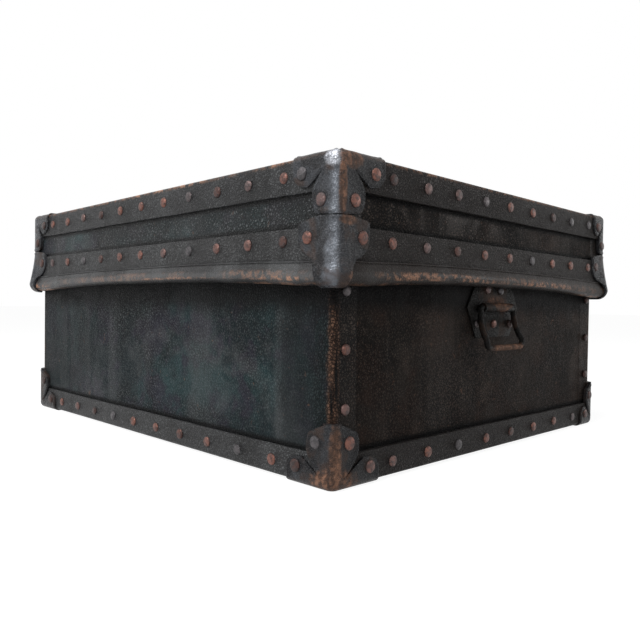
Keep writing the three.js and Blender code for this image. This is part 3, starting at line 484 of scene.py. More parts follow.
def edited(piece, operator, count=1, **settings):
    """Runs an operator on the whole of a piece in edit mode, as many times as asked."""
    activate(piece)
    bpy.ops.object.mode_set(mode="EDIT")
    bpy.ops.mesh.select_all(action="SELECT")
    for _ in range(count):
        operator(**settings)
    bpy.ops.object.mode_set(mode="OBJECT")
    return piece


def face_outwards(piece):
    return edited(piece, bpy.ops.mesh.normals_make_consistent, inside=False)


def smooth(piece, angle=SMOOTH_ANGLE):
    activate(piece)
    bpy.ops.object.shade_smooth_by_angle(angle=angle)
    return piece


def with_modifier(piece, kind, **settings):
    """Adds a modifier and applies it."""
    activate(piece)
    modifier = piece.modifiers.new(kind.title(), kind)
    for key, value in settings.items():
        setattr(modifier, key, value)
    bpy.ops.object.modifier_apply(modifier=modifier.name)
    return piece


def bevelled(piece, width):
    return with_modifier(
        piece, "BEVEL", width=width, segments=BEVEL_SEGMENTS, limit_method="ANGLE", angle_limit=BEVEL_ANGLE
    )


def joined_by(piece, other, operation):
    """Cuts, joins or keeps what is common of two closed pieces; the second is used up."""
    with_modifier(piece, "BOOLEAN", operation=operation, object=other, solver="EXACT")
    bpy.data.objects.remove(other)
    if len(piece.data.polygons) < LEAST_FACES:
        raise RuntimeError(f"{piece.name} was lost in a cut")
    return piece


def merged_near(piece):
    return edited(piece, bpy.ops.mesh.remove_doubles, threshold=MERGE_DISTANCE)


def holes_filled(piece):
    """Closes the small holes that a cut leaves in a mesh."""
    return face_outwards(edited(piece, bpy.ops.mesh.fill_holes, sides=HOLE_SIDES))


def outline_piece(name, points):
    """A flat face with one corner at each point."""
    deselect_all()
    bpy.ops.mesh.primitive_circle_add(vertices=len(points), radius=1.0, fill_type="NGON")
    piece = new_primitive(name)
    for vertex, point in zip(piece.data.vertices, points):
        vertex.co = point
    return piece


def extruded(piece, step, count=1):
    """Extrudes a flat face by a step, as many times as asked."""
    edited(piece, bpy.ops.mesh.extrude_region_move, count, TRANSFORM_OT_translate={"value": step})
    return face_outwards(piece)


def joined(name, pieces):
    """Joins pieces into one object."""
    deselect_all()
    for piece in pieces:
        piece.select_set(True)
    bpy.context.view_layer.objects.active = pieces[0]
    if len(pieces) > 1:
        bpy.ops.object.join()
    result = bpy.context.object
    result.name = name
    result.data.name = name
    return result


def duplicate(piece, name):
    activate(piece)
    bpy.ops.object.duplicate(linked=False)
    return new_primitive(name)


def arc(centre, radius, start, end, steps):
    points = []
    for i in range(steps + 1):
        angle = start + (end - start) * i / steps
        points.append((centre[0] + radius[0] * math.cos(angle), centre[1] + radius[1] * math.sin(angle)))
    return points


def curve_to(start, via, end, steps=CURVE_STEPS):
    """Points of a quadratic curve after its start."""
    points = []
    for i in range(1, steps + 1):
        t = i / steps
        points.append(tuple(
            (1 - t) ** 2 * start[k] + 2 * t * (1 - t) * via[k] + t * t * end[k] for k in range(2)
        ))
    return points


def wander(place, share):
    """A slow, small and repeatable drift along an old hand-set edge."""
    drift = 0
    for size, pace, start in WANDER_WAVES:
        drift += size * math.sin(place * pace + share * start)
    return drift / 2


def outline_distance(points, u, v):
    """Distance from a point to the nearest stretch of an outline."""
    nearest = float("inf")
    count = len(points)
    for i in range(count):
        (ax, ay), (bx, by) = points[i], points[(i + 1) % count]
        dx, dy = bx - ax, by - ay
        length = dx * dx + dy * dy
        t = 0 if length == 0 else max(0, min(1, ((u - ax) * dx + (v - ay) * dy) / length))
        nearest = min(nearest, math.hypot(u - ax - t * dx, v - ay - t * dy))
    return nearest


def pressed_rise(distance):
    """How far a cap's sheet stands up near its edge: a pressed rim, rolled down outside it."""
    rim = PRESSED_RIM_RISE * math.exp(-((distance - PRESSED_RIM_INSET) / PRESSED_RIM_WIDTH) ** 2)
    roll = CAP_EDGE_ROLL * math.exp(-(distance / PRESSED_RIM_WIDTH) ** 2)
    return rim - roll


def dress(piece, body, slot, material, *nodes):
    """Gives a finished piece its material and its body, and hides the nodes it stands for; the slot it is
    given is not used.
    """
    piece.data.materials.clear()
    piece.data.materials.append(material)
    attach(piece, body)
    if nodes:
        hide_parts(*nodes)
    return piece


# Rivets

def rivet_head(name, rivet):
    """A low domed head that looks up, made from a circle pulled up ring by ring."""
    diameter, height = rivet
    radius = diameter / 2
    share, drop = RIVET_RINGS[0]
    deselect_all()
    bpy.ops.mesh.primitive_circle_add(
        vertices=RIVET_SIDES, radius=radius * share, fill_type="TRIFAN", location=(0, 0, drop * height)
    )
    head = new_primitive(name)
    settle(head)
    activate(head)
    bpy.ops.object.mode_set(mode="EDIT")
    bpy.ops.mesh.select_all(action="SELECT")
    for (last_share, last_rise), (next_share, rise) in zip(RIVET_RINGS, RIVET_RINGS[1:]):
        step = (0, 0, (rise - last_rise) * height)
        bpy.ops.mesh.extrude_region_move(TRANSFORM_OT_translate={"value": step})
        scale = next_share / last_share
        bpy.ops.transform.resize(value=(scale, scale, 1))
    bpy.ops.object.mode_set(mode="OBJECT")
    top = max(head.data.vertices, key=lambda vertex: (vertex.co.z, -math.hypot(vertex.co.x, vertex.co.y)))
    top.co.z = height
    return face_outwards(head)


def rivet_matrix(place, outward):
    """Where one head goes, with the small tilt and turn of a hand-set rivet."""
    turn = outward.to_track_quat("Z", "Y").to_matrix().to_4x4()
    spin = Matrix.Rotation(draws.uniform(0, 2 * math.pi), 4, "Z")
    tilt = Matrix.Rotation(draws.uniform(-RIVET_TILT, RIVET_TILT), 4, "X")
    size = 1 + draws.uniform(-RIVET_SIZE_SPREAD, RIVET_SIZE_SPREAD)
    return Matrix.Translation(place) @ turn @ tilt @ spin @ Matrix.Scale(size, 4)


def rivet_row(name, rivet, places, tones=FRESH_TONES):
    """One object with a head at each (place, outward) pair, each head with its own tone."""
    pattern = rivet_head(name + "_pattern", rivet)
    heads = []
    for index, (place, outward) in enumerate(places):
        head = duplicate(pattern, f"{name}_{index}")
        tone = head.data.attributes.new(RIVET_TONE, "FLOAT", "POINT")
        tone.data.foreach_set("value", [draws.uniform(*tones)] * len(head.data.vertices))
        shift = Vector([draws.uniform(-RIVET_SHIFT, RIVET_SHIFT) for _ in range(3)])
        shift -= shift.dot(outward) * outward
        head.data.transform(rivet_matrix(Vector(place) + shift, outward))
        heads.append(head)
    bpy.data.objects.remove(pattern)
    return smooth(joined(name, heads), HALF_TURN)


def row_places(row, shift=0.0):
    count, pitch = row
    return [shift + (i - (count - 1) / 2) * pitch for i in range(count)]


# Edge strips

def strip_outline(height, back_depth):
    """L section, outward and up, with its own top at zero."""
    radius = BINDING_EDGE_RADIUS
    inner = SEAT_GAP - back_depth
    leg_end = -back_depth - BINDING_LEVEL_LEG
    points = [(inner, -height), (BINDING_FACE, -height)]
    points += arc((BINDING_FACE - radius, -radius), (radius, radius), 0, QUARTER_TURN, ROUND_STEPS)
    points += [(leg_end, 0), (leg_end, -BINDING_THICKNESS), (inner, -BINDING_THICKNESS)]
    return points


def strip(name, height, distance, half_run, back_depth, top, turned_over):
    """One edge strip facing +X, its free edge a little uneven as old strips are."""
    side = -1 if turned_over else 1
    points = [
        Vector((distance + x, -half_run, top + side * z)) for x, z in strip_outline(height, back_depth)
    ]
    piece = outline_piece(name, points)
    extruded(piece, (0, 2 * half_run / STRIP_STEPS, 0), STRIP_STEPS)
    low = top - side * height
    for vertex in piece.data.vertices:
        near_edge = max(0, 1 - abs(vertex.co.z - low) / height)
        if vertex.co.x > distance:
            vertex.co.z += STRIP_WANDER * near_edge * wander(vertex.co.y, distance + top)
            vertex.co.x += STRIP_WANDER * wander(vertex.co.y, distance - top) / 2
    return smooth(bevelled(piece, STRIP_EDGE_BEVEL))


def box_piece(name, low, high):
    deselect_all()
    centre = [(a + b) / 2 for a, b in zip(low, high)]
    bpy.ops.mesh.primitive_cube_add(size=1.0, location=centre)
    piece = new_primitive(name)
    piece.scale = [b - a for a, b in zip(low, high)]
    return settle(piece)


def cut_over_flanges(piece, distance, half_width, low, high):
    """Takes away what is behind a strip on an end where it crosses the two flanges."""
    flange_from = half_width - FLANGE_LENGTH - SEAT_GAP
    back = distance - END_INSET - BINDING_LEVEL_LEG - CUTTER_REACH
    for start, end in ((flange_from, half_width), (-half_width, -flange_from)):
        cutter = box_piece("flange_cutter", (back, start, low), (distance + SEAT_GAP, end, high))
        joined_by(piece, cutter, "DIFFERENCE")
    return piece


def face_places(distance, height, row, shift=0.0):
    return [((distance, y, height), OUT) for y in row_places(row, shift)]


def top_strip_places(distance, row, shift):
    inset = distance + BINDING_FACE - FLAT_ROW_INSET
    places = face_places(distance + BINDING_FACE, lid_binding_top - TOP_ROW_DROP, row, shift)
    return places + [((inset, y, lid_binding_top), UP) for y in row_places(row, shift)]


# Rim band and bead

def band_outline(back_depth):
    """Section of the rim band, outward from the panel and up from the floor."""
    crest = (BEAD_PROUD, BEAD_CREST_RISE)
    under = (BEAD_PROUD + BEAD_INSET, BEAD_CREST_RISE)
    points = [(-back_depth, 0)]
    points += arc((-BEAD_INSET, BEAD_CREST_RISE), under, -QUARTER_TURN, 0, BEAD_STEPS)
    points += curve_to(crest, *BEAD_SLOPE)
    points += [*BEAD_RIDGE, (BINDING_FACE, RIM_BAND_HEIGHT), (-back_depth, RIM_BAND_HEIGHT)]
    return [(out, bead_low + rise) for out, rise in points]


def rim_lift(place, free_half):
    """How far age has lifted the bead at a place along one side."""
    share = min(1, abs(place) / free_half)
    return RIM_BOW * (1 - share ** BOW_POWER)


def rim_band(name, distance, half_run, back_depth, straight, turned_ends):
    """A band facing +X, bowed up at mid span; the long ones turn round both corners."""
    points = [Vector((distance + x, -half_run, z)) for x, z in band_outline(back_depth)]
    piece = outline_piece(name, points)
    extruded(piece, (0, 2 * half_run / STRIP_STEPS, 0), STRIP_STEPS)
    free_half = half_run - straight
    for vertex in piece.data.vertices:
        depth_share = (band_top - vertex.co.z) / RIM_BAND_HEIGHT
        vertex.co.z += rim_lift(vertex.co.y, free_half) * depth_share
        if vertex.co.x > distance and abs(vertex.co.y) < free_half:
            vertex.co.x += STRIP_WANDER * depth_share * wander(vertex.co.y, distance)
    low, high = lid_panel_low - SEAT_GAP, band_top + CUTTER_REACH
    if turned_ends:
        turn_band_ends(piece, distance, half_run)
        behind = box_piece(
            "panel_cutter",
            (distance - BEND - CUTTER_REACH, -half_run, low), (distance + SEAT_GAP, half_run, high),
        )
        joined_by(piece, behind, "DIFFERENCE")
    else:
        behind = box_piece(
            "end_panel_cutter",
            (distance - back_depth - CUTTER_REACH, -half_run * 2, low),
            (distance - PANEL_THICKNESS, half_run * 2, high),
        )
        joined_by(piece, behind, "DIFFERENCE")
        cut_over_flanges(piece, distance, lid_half_width, low, high)
    return smooth(piece)


def turn_band_ends(piece, distance, half_run):
    """Carries the band round both corners by spinning its end faces."""
    for sign in (-1, 1):
        activate(piece)
        for face in piece.data.polygons:
            face.select = all(
                abs(piece.data.vertices[i].co.y - sign * half_run) < SEAT_GAP / 2 for i in face.vertices
            )
        for edge in piece.data.edges:
            edge.select = False
        for vertex in piece.data.vertices:
            vertex.select = abs(vertex.co.y - sign * half_run) < SEAT_GAP / 2
        bpy.ops.object.mode_set(mode="EDIT")
        bpy.ops.mesh.select_mode(type="FACE")
        bpy.ops.mesh.spin(
            steps=RIM_TURN_STEPS, angle=-sign * QUARTER_TURN,
            center=(distance - BEND, sign * half_run, 0), axis=(0, 0, 1),
        )
        bpy.ops.object.mode_set(mode="OBJECT")
    return face_outwards(merged_near(piece))


# Formed corner caps

def lobed_outline(cap, reach):
    """Outline of a cap on one upright face, inward from the corner and down from the level face."""
    over = CUTTER_REACH
    notch = cap["notch_share"] * reach
    lobe_drop = cap["lobe_drop"]
    square = (reach, LOBE_SQUARE_SHARE * lobe_drop)
    lobe_foot = (LOBE_FOOT_SHARE * reach, lobe_drop)
    shoulder = (SHOULDER_SHARE * reach, cap["shoulder_drop"])
    foot = (FOOT_SHARE * reach, cap["foot_drop"])
    leg_end = (-over, cap["leg_drop"])
    points = [(-over, -over), (reach, -over), square]
    points += curve_to(square, (reach, lobe_drop), lobe_foot)
    notch_point = (notch, cap["notch_drop"])
    bulge = (shoulder[0], cap["notch_drop"] + LEG_BULGE_SHARE * (shoulder[1] - cap["notch_drop"]))
    points += [notch_point, *curve_to(notch_point, bulge, shoulder)]
    points += curve_to(shoulder, (shoulder[0], foot[1]), foot)
    points += curve_to(foot, (foot[0] / 2, cap["leg_drop"]), leg_end)
    return points


def level_lobe(cap, reach):
    over = CUTTER_REACH
    width = cap["lobe_drop"]
    square = (reach, LOBE_SQUARE_SHARE * width)
    points = [(-over, -over), (reach, -over), square]
    points += curve_to(square, (reach, width), (LOBE_FOOT_SHARE * reach, width))
    points += [(cap["notch_drop"], cap["notch_drop"])]
    return points


def rounded_corner(point, upright, level):
    """Moves a point of a sharp corner block, corner at zero and the block inwards, to the rounded block."""
    x, y, z = point
    inner_x, inner_y = min(x, -upright), min(y, -upright)
    over_x, over_y = x - inner_x, y - inner_y
    reach = max(over_x, over_y)
    side = -upright + reach if reach > 0 else max(x, y)
    if reach > 0:
        length = math.hypot(over_x, over_y)
        over_x, over_y = over_x * reach / length, over_y * reach / length
    level_over = z + level
    side_over = side + level
    if level_over > 0 and side_over > 0 and (over_x, over_y) != (0, 0):
        length = math.hypot(level_over, side_over)
        shrink = max(level_over, side_over) / length
        new_side = -level + side_over * shrink
        z = -level + level_over * shrink
        scale = (new_side + upright) / (side + upright)
        over_x, over_y = over_x * scale, over_y * scale
    return Vector((inner_x + over_x, inner_y + over_y, z))


def corner_block(name, size, inset, upright, level, cuts):
    """A block with its outer corner near zero, rounded on the edges that meet there."""
    deselect_all()
    bpy.ops.mesh.primitive_cube_add(size=size, location=(-size / 2, -size / 2, -size / 2))
    piece = settle(new_primitive(name))
    edited(piece, bpy.ops.mesh.subdivide, number_cuts=cuts)
    for vertex in piece.data.vertices:
        vertex.co = rounded_corner(vertex.co, upright, level) - Vector((inset, inset, inset))
    return piece


def prism(name, outline, place, depth):
    """A cutter from an outline; place turns (u, v) into a point and depth is its extrusion."""
    piece = outline_piece(name, [place(u, v) for u, v in outline])
    return extruded(piece, depth)


def lobe_prisms(cap, long_reach, end_reach, depth):
    """The four cutters that leave a cap's three lobes."""
    over = CUTTER_REACH
    full = depth + over
    on_long = prism(
        "cap_long_cutter", lobed_outline(cap, long_reach),
        lambda u, v: Vector((-u, over, -v)), (0, -full, 0),
    )
    on_end = prism(
        "cap_end_cutter", lobed_outline(cap, end_reach),
        lambda u, v: Vector((over, -u, -v)), (-full, 0, 0),
    )
    along_x = prism(
        "cap_level_long_cutter", level_lobe(cap, long_reach),
        lambda u, v: Vector((-u, -v, over)), (0, 0, -full),
    )
    along_y = prism(
        "cap_level_end_cutter", level_lobe(cap, end_reach),
        lambda u, v: Vector((-v, -u, over)), (0, 0, -full),
    )
    for other in (on_end, along_x, along_y):
        joined_by(on_long, other, "UNION")
    return on_long


def cap_face_rise(point, cap, outlines):
    """How far the pressed sheet stands up at a point of a cap, and which way."""
    x, y, z = point
    to_long, to_end, to_level = -y, -x, -z
    nearest = min(to_long, to_end, to_level)
    if nearest > CAP_THICKNESS / 2:
        return Vector((0, 0, 0))
    long_outline, end_outline, level_long, level_end = outlines
    if nearest == to_level:
        if to_end > to_long:
            distance = outline_distance(level_long, -x, -y)
        else:
            distance = outline_distance(level_end, -y, -x)
        outward = Vector((0, 0, cap["level_share"]))
    elif nearest == to_long:
        distance = outline_distance(long_outline, -x, -z)
        outward = Vector((0, 1, 0))
    else:
        distance = outline_distance(end_outline, -y, -z)
        outward = Vector((1, 0, 0))
    slant_x, slant_y = CAP_DENT_SLANT
    drift = wander(x * slant_x + y * slant_y + z, z)
    dent = CAP_DENT * drift * min(1, distance / PRESSED_RIM_INSET) / 2
    return outward * (pressed_rise(distance) + dent)


def formed_cap(name, cap, strip_height, long_reach, end_reach):
    """A pressed three-lobed cap with its outer corner at zero, over the strips and the panels."""
    inner_bend = BEND + SEAT_GAP
    inner_edge = BINDING_EDGE_RADIUS + SEAT_GAP
    size = max(long_reach, end_reach, cap["leg_drop"]) + CUTTER_REACH
    outer_bend = inner_bend + CAP_THICKNESS + CORNER_SOFTENING
    outer_edge = inner_edge + CAP_THICKNESS + CORNER_SOFTENING
    outer = corner_block(name, size, 0, outer_bend, outer_edge, CAP_GRID_CUTS)
    outlines = (
        lobed_outline(cap, long_reach), lobed_outline(cap, end_reach),
        level_lobe(cap, long_reach), level_lobe(cap, end_reach),
    )
    for vertex in outer.data.vertices:
        vertex.co += cap_face_rise(vertex.co, cap, outlines)
    depth = inner_bend + CAP_FACE
    joined_by(outer, lobe_prisms(cap, long_reach, end_reach, depth), "INTERSECT")
    block = INNER_BLOCK_SHARE * size
    inner = corner_block("cap_inner_cutter", block, CAP_THICKNESS, inner_bend, inner_edge, INNER_CUTS)
    strip_end = CAP_THICKNESS + 2 * SEAT_GAP + strip_height
    over = 2 * size
    strips = box_piece("strip_zone", (-over - size, -over - size, -strip_end), (over, over, over))
    joined_by(inner, strips, "INTERSECT")
    joined_by(outer, inner, "DIFFERENCE")
    behind = CAP_THICKNESS + BINDING_FACE
    panels = corner_block("cap_panel_cutter", block, behind, inner_bend, inner_edge, INNER_CUTS)
    joined_by(outer, panels, "DIFFERENCE")
    return smooth(holes_filled(merged_near(outer)))


def cap_rivet_places(cap, long_reach, end_reach, level_rivets):
    drop = cap["lobe_rivet_drop"]
    low = cap["leg_rivet_drop"]
    out_long = Vector((0, 1, 0))
    places = [
        ((LOBE_RIVET_INSET - long_reach, 0, -drop), out_long),
        ((-LEG_RIVET_SHARE * long_reach, 0, -low), out_long),
        ((0, LOBE_RIVET_INSET - end_reach, -drop), OUT),
        ((0, -LEG_RIVET_SHARE * end_reach, -low), OUT),
    ]
    if level_rivets:
        places += [
            ((LOBE_RIVET_INSET - long_reach, -drop, 0), UP),
            ((-drop, LOBE_RIVET_INSET - end_reach, 0), UP),
        ]
    return places


def lobe_reach(half_size, row, shift, cap):
    """How far a cap reaches along one edge, measured from the last rivet of the row."""
    count, pitch = row
    return half_size + CAP_FACE - ((count - 1) / 2 * pitch + shift) - cap["lobe_to_row"]


# Caps over the corners of the rim

def rim_flat(z):
    """Face of the rim cap at a height: flat on the band and round over the bead."""
    growth = SEAT_GAP + CAP_THICKNESS
    out, up = BEAD_PROUD + BEAD_INSET + growth, BEAD_HEIGHT / 2 + growth
    rise = (z - bead_centre) / up
    on_bead = out * math.sqrt(max(1 - rise * rise, 0)) - BEAD_INSET
    return max(on_bead, CAP_FACE) if z > bead_centre else on_bead


def rim_flared(z):
    """Face of the same cap at the corner itself."""
    crest = rim_flat(bead_centre) + RIM_CORNER_PROUD
    share = max(0, (rim_cap_top - z) / (rim_cap_top - bead_centre))
    return CAP_FACE + (crest - CAP_FACE) * share ** FLARE_POWER


def rim_face(z, away, reach):
    """Face of the rim cap at a height and at a distance from the corner along one face."""
    left = max(1 - away / (FLARE_SHARE * reach), 0) ** 2
    flat = rim_flat(z)
    if z > bead_centre:
        return flat + (rim_flared(z) - flat) * left
    return flat + RIM_CORNER_PROUD * left * max(0, flat / rim_flat(bead_centre))


def rim_outline(reach, tongue):
    """Outline of the rim cap on one face, inward and down from the band's upper edge."""
    low = RIM_BAND_HEIGHT + CAP_THICKNESS + CUTTER_REACH
    proud = BEAD_PROUD + CAP_FACE + CUTTER_REACH
    rise = rim_cap_top - band_top
    waist = (reach * WAIST_SHARE, RIM_BAND_HEIGHT * WAIST_DROP_SHARE)
    ear_low = (reach, RIM_BAND_HEIGHT * EAR_LOW_SHARE)
    tongue_top = (tongue, RIM_BAND_HEIGHT * TONGUE_DROP_SHARE)
    points = [(-proud, -rise), (0, -rise)]
    points += curve_to((0, -rise), (reach * RIM_TOP_SHARE, -rise), (reach, -RIM_EAR_RISE))
    points += [ear_low]
    points += curve_to(ear_low, (reach, RIM_BAND_HEIGHT * EAR_TURN_SHARE), waist)
    points += curve_to(waist, (tongue, RIM_BAND_HEIGHT * TONGUE_TURN_SHARE), tongue_top)
    points += [(tongue, low), (-proud, low)]
    return points


def rim_run_point(position, z, inwards):
    """A point of the rim cap's sheet; position runs from the long face round the corner to the end."""
    long_run = RIM_LONG_REACH + CUTTER_REACH - BEND
    end_run = RIM_END_REACH + CUTTER_REACH - BEND
    turn_share = RIM_TURN_STEPS / (2 * RIM_RUN_STEPS + RIM_TURN_STEPS)
    run_share = (1 - turn_share) / 2
    if position < run_share:
        back = (1 - position / run_share) * long_run
        face = rim_face(z, back, RIM_LONG_REACH) - inwards
        return Vector((-BEND - back, face, z))
    if position > 1 - run_share:
        back = (position - 1 + run_share) / run_share * end_run
        face = rim_face(z, back, RIM_END_REACH) - inwards
        return Vector((face, -BEND - back, z))
    angle = QUARTER_TURN * (1 - (position - run_share) / turn_share)
    face = BEND + rim_face(z, 0, RIM_LONG_REACH) - inwards
    return Vector((-BEND + face * math.cos(angle), -BEND + face * math.sin(angle), z))


def rim_profile(share):
    """Height on the rim cap at a share of its profile, closer together under the bead."""
    low = bead_centre - BEAD_HEIGHT / 2 - SEAT_GAP - CAP_THICKNESS
    if share < UNDER_BEAD_SHARE:
        angle = -QUARTER_TURN + share / UNDER_BEAD_SHARE * QUARTER_TURN
        return bead_centre + (bead_centre - low) * math.sin(angle)
    left = share - UNDER_BEAD_SHARE
    return bead_centre + (rim_cap_top - bead_centre) * left / (1 - UNDER_BEAD_SHARE)


def rim_cap(name):
    """Cap over one corner of the rim, the corner of the panel planes at zero."""
    columns = 2 * RIM_RUN_STEPS + RIM_TURN_STEPS
    rows = RIM_PROFILE_STEPS
    deselect_all()
    bpy.ops.mesh.primitive_grid_add(x_subdivisions=columns, y_subdivisions=rows, size=2)
    piece = new_primitive(name)
    long_outline = rim_outline(RIM_LONG_REACH, RIM_LONG_TONGUE)
    end_outline = rim_outline(RIM_END_REACH, RIM_END_TONGUE)
    for vertex in piece.data.vertices:
        position, share = (vertex.co.x + 1) / 2, (vertex.co.y + 1) / 2
        z = rim_profile(share)
        point = rim_run_point(position, z, 0)
        on_long = point.y > point.x
        outline, along = (long_outline, -point.x) if on_long else (end_outline, -point.y)
        rise = pressed_rise(outline_distance(outline, along, band_top - z))
        dent = CAP_DENT * wander(position, z) / 2
        vertex.co = rim_run_point(position, z, -rise - dent)
    face_sheet_outwards(piece)
    with_modifier(piece, "SOLIDIFY", thickness=CAP_THICKNESS, offset=-1, use_even_offset=False)
    ahead = BEAD_PROUD + CAP_FACE + CUTTER_REACH
    on_long = prism(
        "rim_long_cutter", long_outline,
        lambda u, v: Vector((-u, ahead, band_top - v)), (0, -ahead - RIM_END_TONGUE, 0),
    )
    on_end = prism(
        "rim_end_cutter", end_outline,
        lambda u, v: Vector((ahead, -u, band_top - v)), (-ahead - RIM_LONG_TONGUE, 0, 0),
    )
    joined_by(on_long, on_end, "UNION")
    joined_by(piece, on_long, "INTERSECT")
    return smooth(merged_near(piece))


def face_sheet_outwards(piece):
    """Turns an open sheet so that its faces look away from the chest's middle."""
    middle = piece.data.polygons[len(piece.data.polygons) // 2]
    if middle.normal.x + middle.normal.y < 0:
        edited(piece, bpy.ops.mesh.flip_normals)
    return piece


# Handles

def handle_plate(name):
    """Tapered plate with its rolled knuckle, facing +X."""
    width, end = PLATE_HALF_WIDTH, PLATE_END_HALF_WIDTH
    outline = [
        (-end, -PLATE_BOTTOM_DROP), (end, -PLATE_BOTTOM_DROP), (width, 0),
        (end, PLATE_TOP_RISE), (-end, PLATE_TOP_RISE), (-width, 0),
    ]
    plate = outline_piece(name, [Vector((plate_back, y, handle_height + z)) for y, z in outline])
    extruded(plate, (PLATE_THICKNESS, 0, 0))
    bevelled(plate, PLATE_EDGE_BEVEL)
    roll = knuckle_roll("knuckle_roll", KNUCKLE_DIAMETER / 2, KNUCKLE_HALF_LENGTH)
    bevelled(roll, PLATE_EDGE_BEVEL)
    joined_by(plate, roll, "UNION")
    bore = knuckle_roll(
        "knuckle_bore", BAIL_DIAMETER / 2 + BAIL_CLEARANCE, KNUCKLE_HALF_LENGTH + CUTTER_REACH
    )
    joined_by(plate, bore, "DIFFERENCE")
    return smooth(plate)


def knuckle_roll(name, radius, half_length):
    deselect_all()
    bpy.ops.mesh.primitive_cylinder_add(
        vertices=KNUCKLE_SIDES, radius=radius, depth=2 * half_length,
        location=(knuckle_axis, 0, handle_height), rotation=(QUARTER_TURN, 0, 0),
    )
    return settle(new_primitive(name))


def bail_points(sign):
    """Centre line of one side of the bail, from the middle of the knuckle to the lower bar."""
    radius = BAIL_DIAMETER / 2
    half, low_half = BAIL_HALF_WIDTH - radius, BAIL_LOW_HALF_WIDTH - radius
    low_bend = BAIL_CORNER_RADIUS - radius
    shoulder = Vector((0, half, -radius))
    elbow = Vector((BAIL_BOW, low_half, low_bend - BAIL_DROP))
    corner = Vector((BAIL_BOW, low_half, -BAIL_DROP))
    end = Vector((BAIL_BOW, low_half - low_bend, -BAIL_DROP))
    stretches = [
        (Vector((0, half - radius, 0)), Vector((0, half, 0)), shoulder),
        (shoulder, Vector((0, (half + low_half) / 2, -BAIL_DROP / 2)), elbow),
        (elbow, corner, end),
    ]
    points = [Vector((0, KNUCKLE_HALF_LENGTH / 2, 0))]
    for start, via, finish in stretches:
        for i in range(BAIL_STEPS + 1):
            t = i / BAIL_STEPS
            points.append((1 - t) ** 2 * start + 2 * t * (1 - t) * via + t * t * finish)
    return [Vector((point.x, sign * point.y, point.z)) for point in points]


def bail_ring(name):
    """Round bar bent to a ring, as it hangs."""
    right, left = bail_points(1), bail_points(-1)
    line = right + left[::-1]
    curve = bpy.data.curves.new(name, "CURVE")
    curve.dimensions = "3D"
    curve.bevel_depth = BAIL_DIAMETER / 2
    curve.bevel_resolution = BAIL_SIDES
    spline = curve.splines.new("POLY")
    spline.points.add(len(line) - 1)
    lean = bail_lean()
    turn = Matrix.Rotation(-lean, 3, "Y")
    axis = Vector((knuckle_axis, 0, handle_height))
    for spot, point in zip(spline.points, line):
        spot.co = (*(axis + turn @ point), 1)
    spline.use_cyclic_u = True
    ring = bpy.data.objects.new(name, curve)
    bpy.context.scene.collection.objects.link(ring)
    activate(ring)
    bpy.ops.object.convert(target="MESH")
    return smooth(merged_near(bpy.context.object), HALF_TURN)


def bail_lean():
    """The hanging bail leans out as far as its node's box says."""
    reach = bail_box_high.x - knuckle_axis - BAIL_DIAMETER / 2
    return math.atan2(reach, BAIL_DROP) - math.atan2(BAIL_BOW, BAIL_DROP)


# Shader parts

def node(tree, kind, **settings):
    made = tree.nodes.new(kind)
    for key, value in settings.items():
        setattr(made, key, value)
    return made


def feed(tree, socket, value):
    """Links an output to a socket, or sets a plain value on it."""
    if isinstance(value, bpy.types.NodeSocket):
        tree.links.new(value, socket)
    elif socket.type == "RGBA":
        socket.default_value = (*value[:3], 1)
    else:
        socket.default_value = value


def mixed(tree, factor, first, second):
    """Colour that goes from the first to the second."""
    made = node(tree, "ShaderNodeMix", data_type="RGBA", clamp_factor=True)
    feed(tree, made.inputs[0], factor)
    feed(tree, made.inputs[6], first)
    feed(tree, made.inputs[7], second)
    return made.outputs[2]


def maths(tree, operation, first, second=0.0):
    made = node(tree, "ShaderNodeMath", operation=operation)
    feed(tree, made.inputs[0], first)
    feed(tree, made.inputs[1], second)
    return made.outputs[0]


def product(tree, first, *others):
    for other in others:
        first = maths(tree, "MULTIPLY", first, other)
    return first


def strongest(tree, first, *others):
    for other in others:
        first = maths(tree, "MAXIMUM", first, other)
    return first


def opposite(tree, mask):
    return maths(tree, "SUBTRACT", 1.0, mask)


def spread(tree, value, share, least):
    """A share of a value on top of the least that the result may be."""
    return maths(tree, "ADD", product(tree, value, share), least)


def raised(tree, mask, least):
    """A mask squeezed between its least value and one."""
    return spread(tree, mask, 1 - least, least)


def layered(tree, colour, over, mask, share):
    """Lays one colour over another by a share of a mask."""
    return mixed(tree, product(tree, mask, share), colour, over)


def ramp(tree, value, low, high, to_low=0.0, to_high=1.0):
    """Smooth step of a value between two limits."""
    made = node(tree, "ShaderNodeMapRange", interpolation_type="SMOOTHSTEP", clamp=True)
    for socket, given in zip(made.inputs, (value, low, high, to_low, to_high)):
        feed(tree, socket, given)
    return made.outputs[0]


def noise(tree, vector, scale, detail=4.0, roughness=0.55, distortion=0.0):
    made = node(tree, "ShaderNodeTexNoise")
    feed(tree, made.inputs["Vector"], vector)
    feed(tree, made.inputs["Scale"], scale)
    feed(tree, made.inputs["Detail"], detail)
    feed(tree, made.inputs["Roughness"], roughness)
    feed(tree, made.inputs["Distortion"], distortion)
    return made.outputs[0]


def moved(tree, vector, offset, scale=(1, 1, 1)):
    made = node(tree, "ShaderNodeMapping")
    feed(tree, made.inputs["Vector"], vector)
    made.inputs["Location"].default_value = offset
    made.inputs["Scale"].default_value = scale
    return made.outputs[0]


